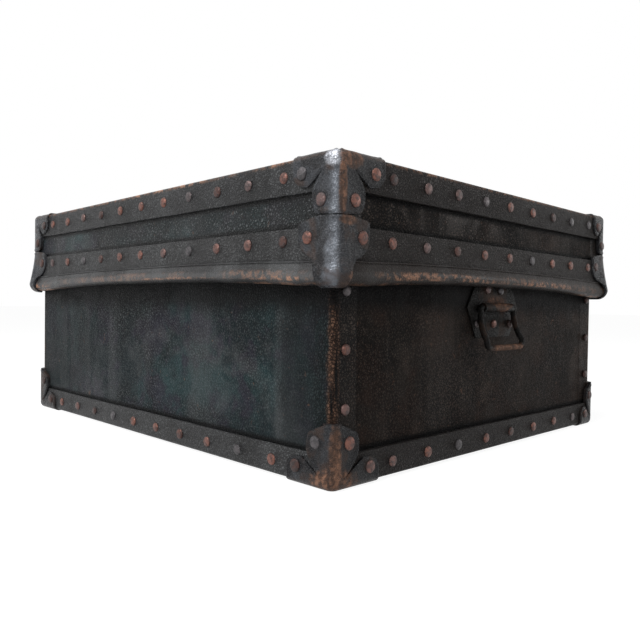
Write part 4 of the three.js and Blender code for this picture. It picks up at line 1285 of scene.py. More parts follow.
def new_group(name, inputs, outputs):
    """An empty shader group with float or vector inputs and float outputs."""
    tree = bpy.data.node_groups.new(name, "ShaderNodeTree")
    for label, default in inputs:
        kind = "NodeSocketVector" if default is None else "NodeSocketFloat"
        socket = tree.interface.new_socket(name=label, in_out="INPUT", socket_type=kind)
        if default is not None:
            socket.default_value = default
    for label in outputs:
        tree.interface.new_socket(name=label, in_out="OUTPUT", socket_type="NodeSocketFloat")
    return tree, node(tree, "NodeGroupInput"), node(tree, "NodeGroupOutput")


def placed_group(tree, name, **inputs):
    made = node(tree, "ShaderNodeGroup", node_tree=bpy.data.node_groups[name])
    for label, value in inputs.items():
        feed(tree, made.inputs[label.replace("_", " ")], value)
    return made.outputs


def make_grain_group():
    """Pebbled grain of pressed fibre: plump cells and worm-like wrinkles with creases between."""
    cell_scale, wrinkle_scale, fine_scale = SHEET_GRAIN
    tree, given, result = new_group(
        "pebbled grain",
        [("Vector", None), ("Cell Scale", cell_scale), ("Wrinkle Scale", wrinkle_scale),
         ("Fine Scale", fine_scale)],
        ["Height", "Crease", "Top"],
    )
    vector = given.outputs["Vector"]
    bend = node(tree, "ShaderNodeTexNoise")
    feed(tree, bend.inputs["Vector"], vector)
    feed(tree, bend.inputs["Scale"], given.outputs["Cell Scale"])
    centred = node(tree, "ShaderNodeVectorMath", operation="SUBTRACT")
    feed(tree, centred.inputs[0], bend.outputs["Color"])
    centred.inputs[1].default_value = (NOISE_MIDDLE, NOISE_MIDDLE, NOISE_MIDDLE)
    shifted = node(tree, "ShaderNodeVectorMath", operation="MULTIPLY_ADD")
    feed(tree, shifted.inputs[0], centred.outputs[0])
    shifted.inputs[1].default_value = (GRAIN_BEND, GRAIN_BEND, GRAIN_BEND)
    feed(tree, shifted.inputs[2], vector)
    cells = node(tree, "ShaderNodeTexVoronoi", feature="DISTANCE_TO_EDGE")
    feed(tree, cells.inputs["Vector"], shifted.outputs[0])
    feed(tree, cells.inputs["Scale"], given.outputs["Cell Scale"])
    plump = ramp(tree, cells.outputs[0], 0.0, CELL_SLOPE)
    waves = noise(tree, vector, given.outputs["Wrinkle Scale"], *WRINKLE_NOISE)
    ridge = maths(tree, "ABSOLUTE", maths(tree, "SUBTRACT", waves, NOISE_MIDDLE))
    wrinkle = ramp(tree, ridge, 0.0, WRINKLE_WIDTH)
    fine = noise(tree, vector, given.outputs["Fine Scale"], GRAIN_FINE_DETAIL)
    both = product(tree, plump, raised(tree, wrinkle, WRINKLE_LEAST))
    feed(tree, result.inputs["Height"], maths(tree, "ADD", both, product(tree, fine, GRAIN_FINE_SHARE)))
    feed(tree, result.inputs["Crease"], opposite(tree, both))
    feed(tree, result.inputs["Top"], ramp(tree, both, *CELL_TOP))


def make_carcase_group():
    """How far a point is from the nearest edge of a box, and how far it stands in front of its sides."""
    tree, given, result = new_group(
        "carcase distance",
        [("Vector", None), ("Half Length", lid_half_length), ("Half Width", lid_half_width), ("Low", 0.0),
         ("High", lid_binding_top)],
        ["Edge", "Proud", "Corner", "On End"],
    )
    split = node(tree, "ShaderNodeSeparateXYZ")
    feed(tree, split.inputs[0], given.outputs["Vector"])
    x, y, z = split.outputs
    to_end = maths(tree, "SUBTRACT", given.outputs["Half Length"], maths(tree, "ABSOLUTE", x))
    to_side = maths(tree, "SUBTRACT", given.outputs["Half Width"], maths(tree, "ABSOLUTE", y))
    to_low = maths(tree, "ABSOLUTE", maths(tree, "SUBTRACT", z, given.outputs["Low"]))
    to_high = maths(tree, "ABSOLUTE", maths(tree, "SUBTRACT", z, given.outputs["High"]))
    to_level = maths(tree, "MINIMUM", to_low, to_high)
    end, side = maths(tree, "ABSOLUTE", to_end), maths(tree, "ABSOLUTE", to_side)
    nearer = maths(tree, "MINIMUM", end, side)
    farther = maths(tree, "MINIMUM", strongest(tree, end, side), to_level)
    feed(tree, result.inputs["Edge"], strongest(tree, nearer, farther))
    feed(tree, result.inputs["Proud"], product(tree, maths(tree, "MINIMUM", to_end, to_side), -1.0))
    feed(tree, result.inputs["Corner"], strongest(tree, end, side))
    lead = ramp(tree, maths(tree, "SUBTRACT", to_side, to_end), -END_BLEND, END_BLEND)
    feed(tree, result.inputs["On End"], product(tree, lead, ramp(tree, end, *END_REACH)))


def make_stain_group():
    """Soft blotches with broken edges."""
    scale, low, high = SHEET_BLOTCH
    tree, given, result = new_group(
        "stain", [("Vector", None), ("Scale", scale), ("Low", low), ("High", high)], ["Mask"]
    )
    broad = noise(tree, given.outputs["Vector"], given.outputs["Scale"], *STAIN_NOISE)
    feed(tree, result.inputs["Mask"], ramp(tree, broad, given.outputs["Low"], given.outputs["High"]))


def make_scratch_group():
    """Fine rubbed lines in two slanting directions."""
    tree, given, result = new_group("scratches", [("Vector", None), ("Scale", SHEET_SCRATCH_SCALE)], ["Mask"])
    masks = []
    for turn, offset in SCRATCH_DIRECTIONS:
        mapping = node(tree, "ShaderNodeMapping")
        feed(tree, mapping.inputs["Vector"], given.outputs["Vector"])
        mapping.inputs["Location"].default_value = (offset, offset, offset)
        mapping.inputs["Rotation"].default_value = (turn, turn / 2, turn / 3)
        mapping.inputs["Scale"].default_value = (1, 1, SCRATCH_THINNESS)
        lines = noise(tree, mapping.outputs[0], given.outputs["Scale"], *SCRATCH_NOISE)
        masks.append(ramp(tree, lines, *SCRATCH_LEVELS))
    feed(tree, result.inputs["Mask"], strongest(tree, *masks))


def make_patch_group():
    """One ragged patch, used for worn places, darker places and the painted glint: full at its centre and
    gone at its reach.
    """
    tree, given, result = new_group(
        "worn patch", [("Vector", None), ("Centre", None), ("Reach", None), ("Ragged", PATCH_RAGGED)],
        ["Mask"],
    )
    away = node(tree, "ShaderNodeVectorMath", operation="SUBTRACT")
    feed(tree, away.inputs[0], given.outputs["Vector"])
    feed(tree, away.inputs[1], given.outputs["Centre"])
    share = node(tree, "ShaderNodeVectorMath", operation="DIVIDE")
    feed(tree, share.inputs[0], away.outputs[0])
    feed(tree, share.inputs[1], given.outputs["Reach"])
    length = node(tree, "ShaderNodeVectorMath", operation="LENGTH")
    feed(tree, length.inputs[0], share.outputs[0])
    chips = maths(tree, "SUBTRACT", noise(tree, given.outputs["Vector"], *PATCH_NOISE), NOISE_MIDDLE)
    uneven = maths(tree, "ADD", length.outputs["Value"], product(tree, chips, given.outputs["Ragged"]))
    feed(tree, result.inputs["Mask"], ramp(tree, uneven, 1.0, PATCH_FULL_SHARE))


def make_streak_group():
    """Soft upright bands, as water and rubbing leave them on a wall."""
    scale, low, high = SHEET_STREAK
    tree, given, result = new_group(
        "upright streaks", [("Vector", None), ("Scale", scale), ("Low", low), ("High", high)], ["Mask"]
    )
    flat = moved(tree, given.outputs["Vector"], (0, 0, 0), (1, 1, STREAK_FLATNESS))
    bands = noise(tree, flat, given.outputs["Scale"], *STREAK_NOISE)
    feed(tree, result.inputs["Mask"], ramp(tree, bands, given.outputs["Low"], given.outputs["High"]))


def new_material(name, specular):
    """A new material's nodes, its Principled shader and the piece's own coordinates."""
    material = bpy.data.materials.new(name)
    material.use_nodes = True
    tree = material.node_tree
    shader = tree.nodes["Principled BSDF"]
    shader.inputs["Specular IOR Level"].default_value = specular
    return tree, shader, node(tree, "ShaderNodeTexCoord").outputs["Object"]


def pebbled(tree, place, scales):
    cell_scale, wrinkle_scale, fine_scale = scales
    return placed_group(
        tree, "pebbled grain", Vector=place, Cell_Scale=cell_scale, Wrinkle_Scale=wrinkle_scale,
        Fine_Scale=fine_scale,
    )


def marked(tree, group, place, scale, low, high, offset=None):
    """The mask of a stain or streak group, at a scale and between two levels of its noise."""
    if offset is not None:
        place = moved(tree, place, offset)
    return placed_group(tree, group, Vector=place, Scale=scale, Low=low, High=high)["Mask"]


def scratched(tree, place, scale):
    return placed_group(tree, "scratches", Vector=place, Scale=scale)["Mask"]


def ragged_patches(tree, place, patches):
    """The strongest of several ragged patches at a point: worn places, darker places and the painted glint.
    """
    masks = []
    for centre, reach in patches:
        masks.append(placed_group(tree, "worn patch", Vector=place, Centre=centre, Reach=reach)["Mask"])
    return strongest(tree, *masks)


def add_bump(tree, shader, *layers):
    """Bump nodes, one on another, from (height, depth) pairs."""
    last = None
    for height, depth in layers:
        bump = node(tree, "ShaderNodeBump")
        bump.inputs["Strength"].default_value = 1.0
        bump.inputs["Distance"].default_value = depth
        feed(tree, bump.inputs["Height"], height)
        if last is not None:
            tree.links.new(last, bump.inputs["Normal"])
        last = bump.outputs[0]
    tree.links.new(last, shader.inputs["Normal"])


def carcase(tree, coordinates, box, grow=0.0):
    half_length, half_width, low, high = box
    return placed_group(
        tree, "carcase distance", Vector=coordinates, Half_Length=half_length + grow,
        Half_Width=half_width + grow, Low=low, High=high,
    )


def painted_shade_near(tree, place, levels):
    """How near a point is to the strips and ledges under which painted shade darkens a sheet."""
    height = node(tree, "ShaderNodeSeparateXYZ")
    feed(tree, height.inputs[0], place)
    masks = []
    for level, reach in levels:
        away = maths(tree, "ABSOLUTE", maths(tree, "SUBTRACT", height.outputs["Z"], level))
        masks.append(ramp(tree, away, reach, reach * SHADE_CORE_SHARE))
    return strongest(tree, *masks)


def sheet_material(name, box, levels, long_side, end, look, darker_places):
    """Old pressed fibre sheet: grained, blotched, rubbed along the carcase's edges."""
    depth_share, shine, crest_share = SHEET_VALUES[name]
    edge_reach = look.edge_wear
    tree, shader, place = new_material(name, shine)
    distance = carcase(tree, place, box)
    # The end colours take over on the ends: their own warmer tone, with painted shade
    base, patch, tint, dust_and_sheen = (
        mixed(tree, distance["On End"], on_side, on_end) for on_side, on_end in zip(long_side, end)
    )
    crease, rubbed = look.crease, look.rubbed
    grain = pebbled(tree, place, SHEET_GRAIN)
    cloud = marked(tree, "stain", place, *SHEET_CLOUD)
    streak = marked(tree, "upright streaks", place, *SHEET_STREAK)
    fibres = marked(tree, "upright streaks", place, *SHEET_FIBRES)
    grained = raised(tree, marked(tree, "stain", place, *SHEET_GRAINED), GRAINED_LEAST)
    ragged = product(tree, noise(tree, place, *EDGE_NOISE), edge_reach)
    worn_from, worn_to = (edge_reach * share for share in EDGE_WEAR_SHARES)
    worn = ramp(tree, maths(tree, "ADD", distance["Edge"], ragged), worn_from, worn_to)
    colour = mixed(tree, marked(tree, "stain", place, *SHEET_BLOTCH), base, patch)
    colour = layered(tree, colour, tint, marked(tree, "stain", place, *SHEET_TINT), SHEET_SHARES["tint"])
    colour = layered(tree, colour, dust_and_sheen, cloud, SHEET_SHARES["cloud"])
    colour = layered(tree, colour, dust_and_sheen, streak, SHEET_SHARES["streak"])
    # Grain tops lighter: dust bloom, with painted highlight
    colour = layered(tree, colour, dust_and_sheen, product(tree, grain["Top"], grained), crest_share)
    # Darker patches: the colour taken back to the base, then towards the crease colour
    if darker_places:
        darker_patch = ragged_patches(tree, place, darker_places)
        colour = layered(tree, colour, base, darker_patch, SHEET_SHARES["darker_patch"])
        colour = layered(tree, colour, crease, darker_patch, SHEET_SHARES["deep soot"])
    colour = layered(tree, colour, mixed(tree, fibres, crease, rubbed), worn, SHEET_SHARES["worn"])
    # Grain creases darker: dirt, with painted shade
    colour = layered(tree, colour, crease, product(tree, grain["Crease"], grained), SHEET_SHARES["crease"])
    marks = scratched(tree, place, SHEET_SCRATCH_SCALE)
    colour = layered(tree, colour, dust_and_sheen, marks, SHEET_SHARES["marks"])
    speck = marked(tree, "stain", place, *SHEET_SPECK)
    colour = layered(tree, colour, rubbed, speck, SHEET_SHARES["speck"])
    # Painted shade: the sheet darkened towards the crease colour under the bead and along the strips
    shade = painted_shade_near(tree, place, levels)
    colour = layered(tree, colour, crease, shade, SHEET_SHARES["shade"])
    feed(tree, shader.inputs["Base Color"], colour)
    polish = product(tree, strongest(tree, cloud, streak), opposite(tree, shade), SHEET_POLISH)
    feed(tree, shader.inputs["Coat Weight"], polish)
    shader.inputs["Coat Roughness"].default_value = COAT_ROUGHNESS
    rough = spread(tree, cloud, CLOUD_ROUGHNESS, SHEET_ROUGHNESS)
    rough = maths(tree, "ADD", rough, product(tree, grain["Crease"], SHEET_CREASE_ROUGHNESS))
    feed(tree, shader.inputs["Roughness"], rough)
    relief = product(tree, grain["Height"], grained)
    add_bump(
        tree, shader, (noise(tree, place, *SHEET_WAVES), SHEET_WAVE_DEPTH),
        (relief, look.grain_depth * depth_share), (fibres, FIBRE_DEPTH),
    )


def strip_material(name, colours, crest, patches, loose_share, grain_depth, shine):
    """Pressed strip with the sheets' grain, rubbed on its edges and where it stands in front of them."""
    base, crease, rubbed, dust_and_sheen, warm = colours
    tree, shader, place = new_material(name, shine)
    grain = pebbled(tree, place, STRIP_GRAIN)
    blotch = marked(tree, "stain", place, *STRIP_BLOTCH)
    chips = marked(tree, "stain", place, *STRIP_CHIPS)
    broad = marked(tree, "stain", place, *STRIP_BROAD)
    streak = marked(tree, "upright streaks", place, *STRIP_STREAK)
    band = marked(tree, "upright streaks", place, *STRIP_BAND)
    distance = carcase(tree, place, LID_BOX, BINDING_FACE)
    edge = ramp(tree, distance["Edge"], *STRIP_EDGE)
    edge = product(tree, edge, chips, raised(tree, broad, BROAD_LEAST))
    bead = ramp(tree, distance["Proud"], *BEAD_START)
    flat = opposite(tree, product(tree, bead, BEAD_SMOOTHING))
    known = ragged_patches(tree, place, patches)
    where = strongest(tree, known, product(tree, broad, loose_share))
    flakes = raised(tree, ramp(tree, noise(tree, place, *FLAKE_NOISE), *FLAKE_LEVELS), FLAKE_LEAST)
    front = product(tree, ramp(tree, distance["Proud"], *crest), where, chips, flakes)
    worn = strongest(tree, edge, front)
    colour = layered(tree, base, dust_and_sheen, blotch, STRIP_SHARES["blotch"])
    # Lighter streaks and darker upright bands on the strips: dust and dirt, with painted ripples of sheen
    colour = layered(tree, colour, dust_and_sheen, streak, STRIP_SHARES["streak"])
    colour = layered(tree, colour, crease, band, STRIP_SHARES["band"])
    # Grain tops lighter: dust, with painted highlight
    colour = layered(tree, colour, dust_and_sheen, product(tree, grain["Top"], flat), STRIP_SHARES["top"])
    colour = layered(tree, colour, warm, distance["On End"], STRIP_SHARES["warm"])
    # Grain creases darker: dirt, with painted shade
    colour = layered(tree, colour, crease, product(tree, grain["Crease"], flat), STRIP_SHARES["crease"])
    marks = scratched(tree, place, STRIP_SCRATCH_SCALE)
    colour = layered(tree, colour, dust_and_sheen, marks, STRIP_SHARES["marks"])
    # Painted highlight: a line of the dust colour along the bead's crest, weaker on the ends
    not_on_end = opposite(tree, product(tree, distance["On End"], STRIP_SHARES["end bloom"]))
    bloom = product(tree, ramp(tree, distance["Proud"], *BEAD_CREST), bead, not_on_end)
    colour = layered(tree, colour, dust_and_sheen, bloom, BEAD_PAINTED_HIGHLIGHT)
    colour = mixed(tree, worn, colour, rubbed)
    feed(tree, shader.inputs["Base Color"], colour)
    rough = spread(tree, blotch, BLOTCH_ROUGHNESS, STRIP_ROUGHNESS)
    rough = maths(tree, "ADD", rough, product(tree, grain["Crease"], flat, STRIP_CREASE_ROUGHNESS))
    feed(tree, shader.inputs["Roughness"], rough)
    feed(tree, shader.inputs["Coat Weight"], product(tree, bead, opposite(tree, worn), BEAD_POLISH))
    shader.inputs["Coat Roughness"].default_value = COAT_ROUGHNESS
    relief = product(tree, grain["Height"], flat)
    add_bump(
        tree, shader, (noise(tree, place, *STRIP_RIPPLES), STRIP_RIPPLE_DEPTH), (relief, grain_depth),
        (worn, WORN_DEPTH),
    )


def metal_material(name, box, grow, colours, patches):
    """Painted sheet metal, rubbed bare and browned."""
    paint, bare, rust, orange, painted_glint_colour = colours
    shine, rust_levels, bare_levels, corner_share = METAL_VALUES[name]
    tree, shader, place = new_material(name, shine)
    fine = noise(tree, place, *METAL_NOISE)
    grain = pebbled(tree, place, STRIP_GRAIN)
    browned = marked(tree, "stain", place, RUST_SCALE, *rust_levels)
    rubbed = marked(tree, "stain", place, BARE_SCALE, *bare_levels, BARE_OFFSET)
    marks = scratched(tree, place, METAL_SCRATCH_SCALE)
    distance = carcase(tree, place, box, grow)
    ragged = product(tree, fine, METAL_EDGE_RAGGED)
    edge = ramp(tree, maths(tree, "ADD", distance["Edge"], ragged), *METAL_EDGE)
    known = ragged_patches(tree, place, patches)
    uneven = product(tree, noise(tree, place, *EDGE_NOISE), CORNER_RAGGED)
    at_corner = ramp(tree, maths(tree, "ADD", distance["Corner"], uneven), *CORNER_REACH)
    # Less bare steel and less glint on the end faces: paint left there, with painted shade
    not_on_end = opposite(tree, product(tree, distance["On End"], METAL_SHARES["end"]))
    shown = strongest(
        tree, product(tree, rubbed, METAL_SHARES["rubbed"]), product(tree, marks, METAL_SHARES["marks"]),
        product(tree, at_corner, corner_share),
    )
    shown = product(tree, shown, not_on_end)
    brown = strongest(
        tree, product(tree, browned, METAL_SHARES["browned"]), product(tree, edge, METAL_SHARES["edge"]),
        product(tree, known, METAL_SHARES["known"]),
    )
    # Painted glint: bright highlight colour, with more metal, at the lid cap's upper corner, weaker on the
    # ends
    glint = ragged_patches(tree, place, PAINTED_GLINT_PATCHES)
    glint = product(tree, glint, not_on_end, ramp(tree, fine, *GLINT_LEVELS))
    flakes = ramp(tree, fine, *METAL_FLAKES)
    rubs = marked(tree, "upright streaks", place, *METAL_RUBS)
    rusty = strongest(tree, known, product(tree, edge, METAL_SHARES["edge rust"]))
    colour = mixed(tree, shown, paint, bare)
    colour = mixed(tree, brown, colour, rust)
    colour = mixed(tree, glint, colour, painted_glint_colour)
    colour = mixed(tree, product(tree, rusty, flakes, rubs), colour, orange)
    feed(tree, shader.inputs["Base Color"], colour)
    covered = opposite(tree, product(tree, brown, METAL_SHARES["covered"]))
    metallic = product(tree, shown, covered, METAL_SHARES["bare metal"])
    metallic = strongest(tree, metallic, product(tree, glint, METAL_SHARES["glint metal"]))
    feed(tree, shader.inputs["Metallic"], metallic)
    rough = spread(tree, brown, BROWN_ROUGHNESS, METAL_ROUGHNESS)
    rough = maths(tree, "ADD", rough, product(tree, fine, METAL_FINE_ROUGHNESS))
    feed(tree, shader.inputs["Roughness"], rough)
    coated = product(tree, opposite(tree, shown), grain["Height"])
    dents = noise(tree, place, *METAL_DENTS)
    depths = zip((dents, coated, fine, brown), METAL_DEPTHS)
    add_bump(tree, shader, *depths)


def rivet_material(name, copper, grey, dark):
    """Copper heads, each with its own tone, browned and pitted."""
    tree, shader, place = new_material(name, RIVET_SHINE)
    tone = node(tree, "ShaderNodeAttribute", attribute_name=RIVET_TONE).outputs["Fac"]
    fine = noise(tree, place, *FLAKE_NOISE)
    smudge = ramp(tree, noise(tree, moved(tree, place, SMUDGE_OFFSET), *SMUDGE_NOISE), *SMUDGE_LEVELS)
    colour = mixed(tree, ramp(tree, tone, *GREY_TONES), copper, grey)
    colour = layered(tree, colour, dark, ramp(tree, tone, *DULL_TONES), RIVET_SHARES["dull"])
    colour = layered(tree, colour, dark, smudge, RIVET_SHARES["smudge"])
    colour = layered(tree, colour, dark, ramp(tree, fine, *PIT_LEVELS), RIVET_SHARES["pits"])
    feed(tree, shader.inputs["Base Color"], colour)
    feed(tree, shader.inputs["Metallic"], ramp(tree, smudge, *RIVET_METAL_RAMP))
    feed(tree, shader.inputs["Roughness"], ramp(tree, fine, *RIVET_ROUGHNESS_RAMP))
    add_bump(tree, shader, (smudge, SMUDGE_DEPTH), (fine, PIT_DEPTH))


# What a user would change

def colour_property(name, description, default):
    return bpy.props.FloatVectorProperty(
        name=name, description=description, default=default, size=3, subtype="COLOR", min=0, max=1
    )


class ChestFinish(bpy.types.PropertyGroup):
    """Colours and wear of the chest"""

    sheet: colour_property("Sheet", "Black fibre sheet of the long sides", (0.0085, 0.0150, 0.0175))
    sheet_patch: colour_property("Sheet patches", "Blue-green blotches in the sheet", (0.022, 0.047, 0.050))
    sheet_tint: colour_property("Sheet tint", "Violet blotches in the sheet", (0.022, 0.019, 0.031))
    # End colours, darker than those of the long sides: the ends' own warmer tone, with painted shade
    end_sheet: colour_property("End sheet", "Fibre sheet of the two ends", (0.0135, 0.0100, 0.0080))
    end_patch: colour_property("End patches", "Warmer blotches on the ends", (0.025, 0.019, 0.016))
    end_tint: colour_property("End tint", "Reddish blotches on the ends", (0.026, 0.015, 0.011))
    # Crease colour: dirt in the grain's creases, and also the painted shade there, under the bead and along
    # the strips
    crease: colour_property("Creases", "Dirt in the creases of the grain", (0.0025, 0.0025, 0.0027))
    inner: colour_property("Inner sheet", "Plain sheet of the bottom", (0.060, 0.048, 0.036))
    strip: colour_property("Strips", "Edge strips", (0.020, 0.020, 0.022))
    rim: colour_property("Rim", "Rim band and its bead", (0.024, 0.023, 0.024))
    # Dust colour: grey bloom, and also the painted highlight on the bead's crest and on the grain tops
    dust: colour_property("Dust", "Grey bloom on the long sides and the strips", (0.092, 0.096, 0.098))
    # Darker than the dust: the ends' warmer dust, with painted shade
    end_dust: colour_property("End dust", "Warmer bloom on the ends", (0.066, 0.048, 0.038))
    rubbed: colour_property("Rubbed fibre", "Brown fibre where the black is gone", (0.150, 0.082, 0.054))
    tan: colour_property("Crest", "Tan fibre on the rubbed crest of the rim", (0.36, 0.190, 0.118))
    cap_paint: colour_property("Cap paint", "What is left of the black on the caps", (0.0115, 0.0115, 0.0130))
    cap_steel: colour_property("Cap steel", "Bare steel of the caps", (0.175, 0.19, 0.215))
    # Painted glint: a bright highlight colour laid on the lid cap's upper corner
    cap_painted_glint: colour_property("Cap glint", "Steel rubbed bright at one corner", (0.34, 0.35, 0.38))
    cap_rust: colour_property("Cap brown", "Browned steel of the caps", (0.044, 0.024, 0.016))
    cap_orange: colour_property("Cap orange", "Brightest rust of the caps", (0.25, 0.128, 0.080))
    strip_warm: colour_property("Warm strips", "Tone of the strips on the ends", (0.030, 0.0200, 0.0150))
    iron: colour_property("Handle", "Dark iron of the handles", (0.0075, 0.0070, 0.0065))
    copper: colour_property("Copper", "Rivet heads", (0.185, 0.082, 0.062))
    rivet_grey: colour_property("Grey rivets", "Heads that have lost their copper", (0.085, 0.078, 0.082))
    grain_depth: bpy.props.FloatProperty(
        name="Grain depth", description="Height of the pebbled grain", default=0.0009, min=0, max=0.003,
        unit="LENGTH",
    )
    edge_wear: bpy.props.FloatProperty(
        name="Edge wear", description="How far wear reaches from the edges of the sheets", default=0.0115,
        min=0, max=0.05, unit="LENGTH",
    )


class ChestStage(bpy.types.PropertyGroup):
    """Floor, light and camera"""

    floor: colour_property("Floor", "Pale floor", (0.86, 0.86, 0.86))
    floor_size: bpy.props.FloatProperty(
        name="Floor size", description="Side of the square floor", default=60.0, min=1, unit="LENGTH"
    )
    sky: bpy.props.FloatProperty(
        name="Sky", description="Strength of the light from all round", default=0.28, min=0
    )
    key: bpy.props.FloatProperty(
        name="Key light", description="Power of the lamp high at the front", default=15.0, min=0, unit="POWER"
    )
    fill: bpy.props.FloatProperty(
        name="Fill light", description="Power of the lamp behind the right end", default=8.0, min=0,
        unit="POWER",
    )
    top: bpy.props.FloatProperty(
        name="Top light", description="Power of the lamp overhead", default=17.0, min=0, unit="POWER"
    )
    glint: bpy.props.FloatProperty(
        name="Glint", description="Power of the lamp above the front", default=26.0, min=0, unit="POWER"
    )
    lens: bpy.props.FloatProperty(
        name="Focal length", description="Lens on a 36 mm sensor", default=36.43, min=10, unit="CAMERA"
    )


def material_of(name):
    return bpy.data.materials[name]


# Operators

class CHEST_OT_finishes(bpy.types.Operator):
    """Makes the shader groups and all the materials"""

    bl_idname = "chest.finishes"
    bl_label = "Finishes"

    def execute(self, context):
        for make in (
            make_grain_group, make_carcase_group, make_stain_group, make_scratch_group, make_patch_group,
            make_streak_group,
        ):
            make()
        look = context.scene.chest_finish
        self.make_sheets(look)
        self.make_strips(look)
        self.make_metals(look)
        return {"FINISHED"}

    def make_sheets(self, look):
        long_side = (look.sheet, look.sheet_patch, look.sheet_tint, look.dust)
        end = (look.end_sheet, look.end_patch, look.end_tint, look.end_dust)
        inside = (look.inner, look.inner, look.inner, look.end_dust)
        # Levels and reaches of the painted shade on the body and the lid
        low = binding_underside + BOTTOM_STRIP_HEIGHT
        on_body = ((bead_low, UNDER_BEAD_SHADE), (low, STRIP_SHADE))
        on_lid = ((band_top, STRIP_SHADE), (lid_binding_top - TOP_STRIP_HEIGHT, STRIP_SHADE))
        sheet_material("body sheet", BODY_BOX, on_body, long_side, end, look, DARKER_PATCHES)
        sheet_material("body end sheet", BODY_BOX, on_body, end, end, look, ())
        sheet_material("lid sheet", LID_BOX, on_lid, long_side, end, look, ())
        sheet_material("lid end sheet", LID_BOX, on_lid, end, end, look, ())
        sheet_material("inner sheet", BODY_BOX, on_body, inside, inside, look, ())

    def make_strips(self, look):
        plain = (look.strip, look.crease, look.tan, look.dust, look.strip_warm)
        rim = (look.rim, look.crease, look.tan, look.dust, look.strip_warm)
        depth = look.grain_depth
        rim_depth = depth * RIM_GRAIN_SHARE
        for side, shine in STRIP_SHINES.items():
            strip_material(f"{side} strip", plain, STRIP_CREST, STRIP_PATCHES, 0.0, depth, shine)
            strip_material(f"{side} rim", rim, RIM_CREST, RIM_PATCHES, RIM_LOOSE_WEAR, rim_depth, shine)

    def make_metals(self, look):
        cap = (look.cap_paint, look.cap_steel, look.cap_rust, look.cap_orange, look.cap_painted_glint)
        iron = (look.iron, look.cap_paint, look.cap_rust, look.cap_orange, look.cap_painted_glint)
        metal_material("lid cap", LID_BOX, CAP_FACE, cap, LID_CAP_PATCHES)
        metal_material("rim cap", LID_BOX, BEAD_PROUD, cap, LID_CAP_PATCHES)
        metal_material("bottom cap", STANDING_BOX, CAP_FACE, cap, BOTTOM_CAP_PATCHES)
        metal_material("handle iron", BODY_BOX, NO_EDGE_NEAR, iron, HANDLE_PATCHES)
        rivet_material("copper rivets", look.copper, look.rivet_grey, look.cap_paint)


class CHEST_OT_sheets(bpy.types.Operator):
    """Gives the flat sheets and the mouth strips of the frame their finishes"""

    bl_idname = "chest.sheets"
    bl_label = "Sheets"

    def execute(self, context):
        looks = {
            "body sheet": ("body_front_panel", "body_back_panel"),
            "body end sheet": ("body_right_end_panel", "body_left_end_panel"),
            "inner sheet": ("body_bottom_panel",),
            "lid sheet": ("lid_front_panel", "lid_back_panel", "lid_top_panel"),
            "lid end sheet": ("lid_right_end_panel", "lid_left_end_panel"),
            "long strip": tuple(f"mouth_binding_{side}" for side in ("front", "back", "right", "left")),
            "handle iron": ("right_handle_backing_plate", "left_handle_backing_plate"),
        }
        for look, names in looks.items():
            for name in names:
                node_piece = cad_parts[name]
                node_piece.data.materials.clear()
                node_piece.data.materials.append(material_of(look))
        return {"FINISHED"}


def placed(piece, matrix):
    """Moves a piece's mesh, and turns its faces out again if it was mirrored."""
    piece.data.transform(matrix)
    piece.data.update()
    if matrix.determinant() < 0:
        face_outwards(piece)
    return piece


def pair_of_strips(side, other_side, name, piece, body, slot, look, node_name):
    """Dresses a strip and its half-turned copy on the opposite side."""
    copy = duplicate(piece, f"{name}_{other_side}")
    placed(copy, HALF_ROUND)
    dress(piece, body, slot, material_of(look), f"{node_name}_{side}")
    dress(copy, body, slot, material_of(look), f"{node_name}_{other_side}")


class CHEST_OT_edge_strips(bpy.types.Operator):
    """Builds the strips along the upper and lower edges"""

    bl_idname = "chest.edge_strips"
    bl_label = "Edge strips"

    def execute(self, context):
        for name, height, top, over, half_length, half_width in (
            ("lid_top_strip", TOP_STRIP_HEIGHT, lid_binding_top, False, lid_half_length, lid_half_width),
            ("bottom_strip", BOTTOM_STRIP_HEIGHT, binding_underside, True, body_half_length,
             body_half_width),
        ):
            body = "body" if over else "lid"
            node_name = "bottom_binding" if over else "lid_top_binding"
            long_strip = strip(f"{name}_front", height, half_width, half_length - BEND, 0, top, over)
            placed(long_strip, TO_FRONT)
            pair_of_strips("front", "back", name, long_strip, body, "edge_binding", "long strip", node_name)
            end_strip = strip(f"{name}_right", height, half_length, half_width - BEND, END_INSET, top, over)
            low, high = sorted((top, top + (height if over else -height)))
            cut_over_flanges(end_strip, half_length, half_width, low - CUTTER_REACH, high + CUTTER_REACH)
            smooth(end_strip)
            pair_of_strips("right", "left", name, end_strip, body, "edge_binding", "end strip", node_name)
        return {"FINISHED"}


class CHEST_OT_rim_bands(bpy.types.Operator):
    """Builds the rim bands with their rolled beads"""

    bl_idname = "chest.rim_bands"
    bl_label = "Rim bands"

    def execute(self, context):
        front = rim_band(
            "lid_rim_front", lid_half_width, lid_half_length - BEND, PANEL_THICKNESS,
            RIM_LONG_REACH - BEND, True,
        )
        placed(front, TO_FRONT)
        pair_of_strips("front", "back", "lid_rim", front, "lid", "rim_band", "long rim", "lid_rim_band")
        right = rim_band(
            "lid_rim_right", lid_half_length, lid_half_width - BEND - SEAT_GAP,
            END_INSET + PANEL_THICKNESS, RIM_END_REACH - BEND, False,
        )
        pair_of_strips("right", "left", "lid_rim", right, "lid", "rim_band", "end rim", "lid_rim_band")
        return {"FINISHED"}


def cap_matrix(half_length, half_width, height, side, over):
    """Where a cap built in its own corner frame goes on the right end."""
    place = Matrix.Translation((half_length + CAP_FACE, side * (half_width + CAP_FACE), height))
    return place @ Matrix.Diagonal((1, side, -1 if over else 1, 1))


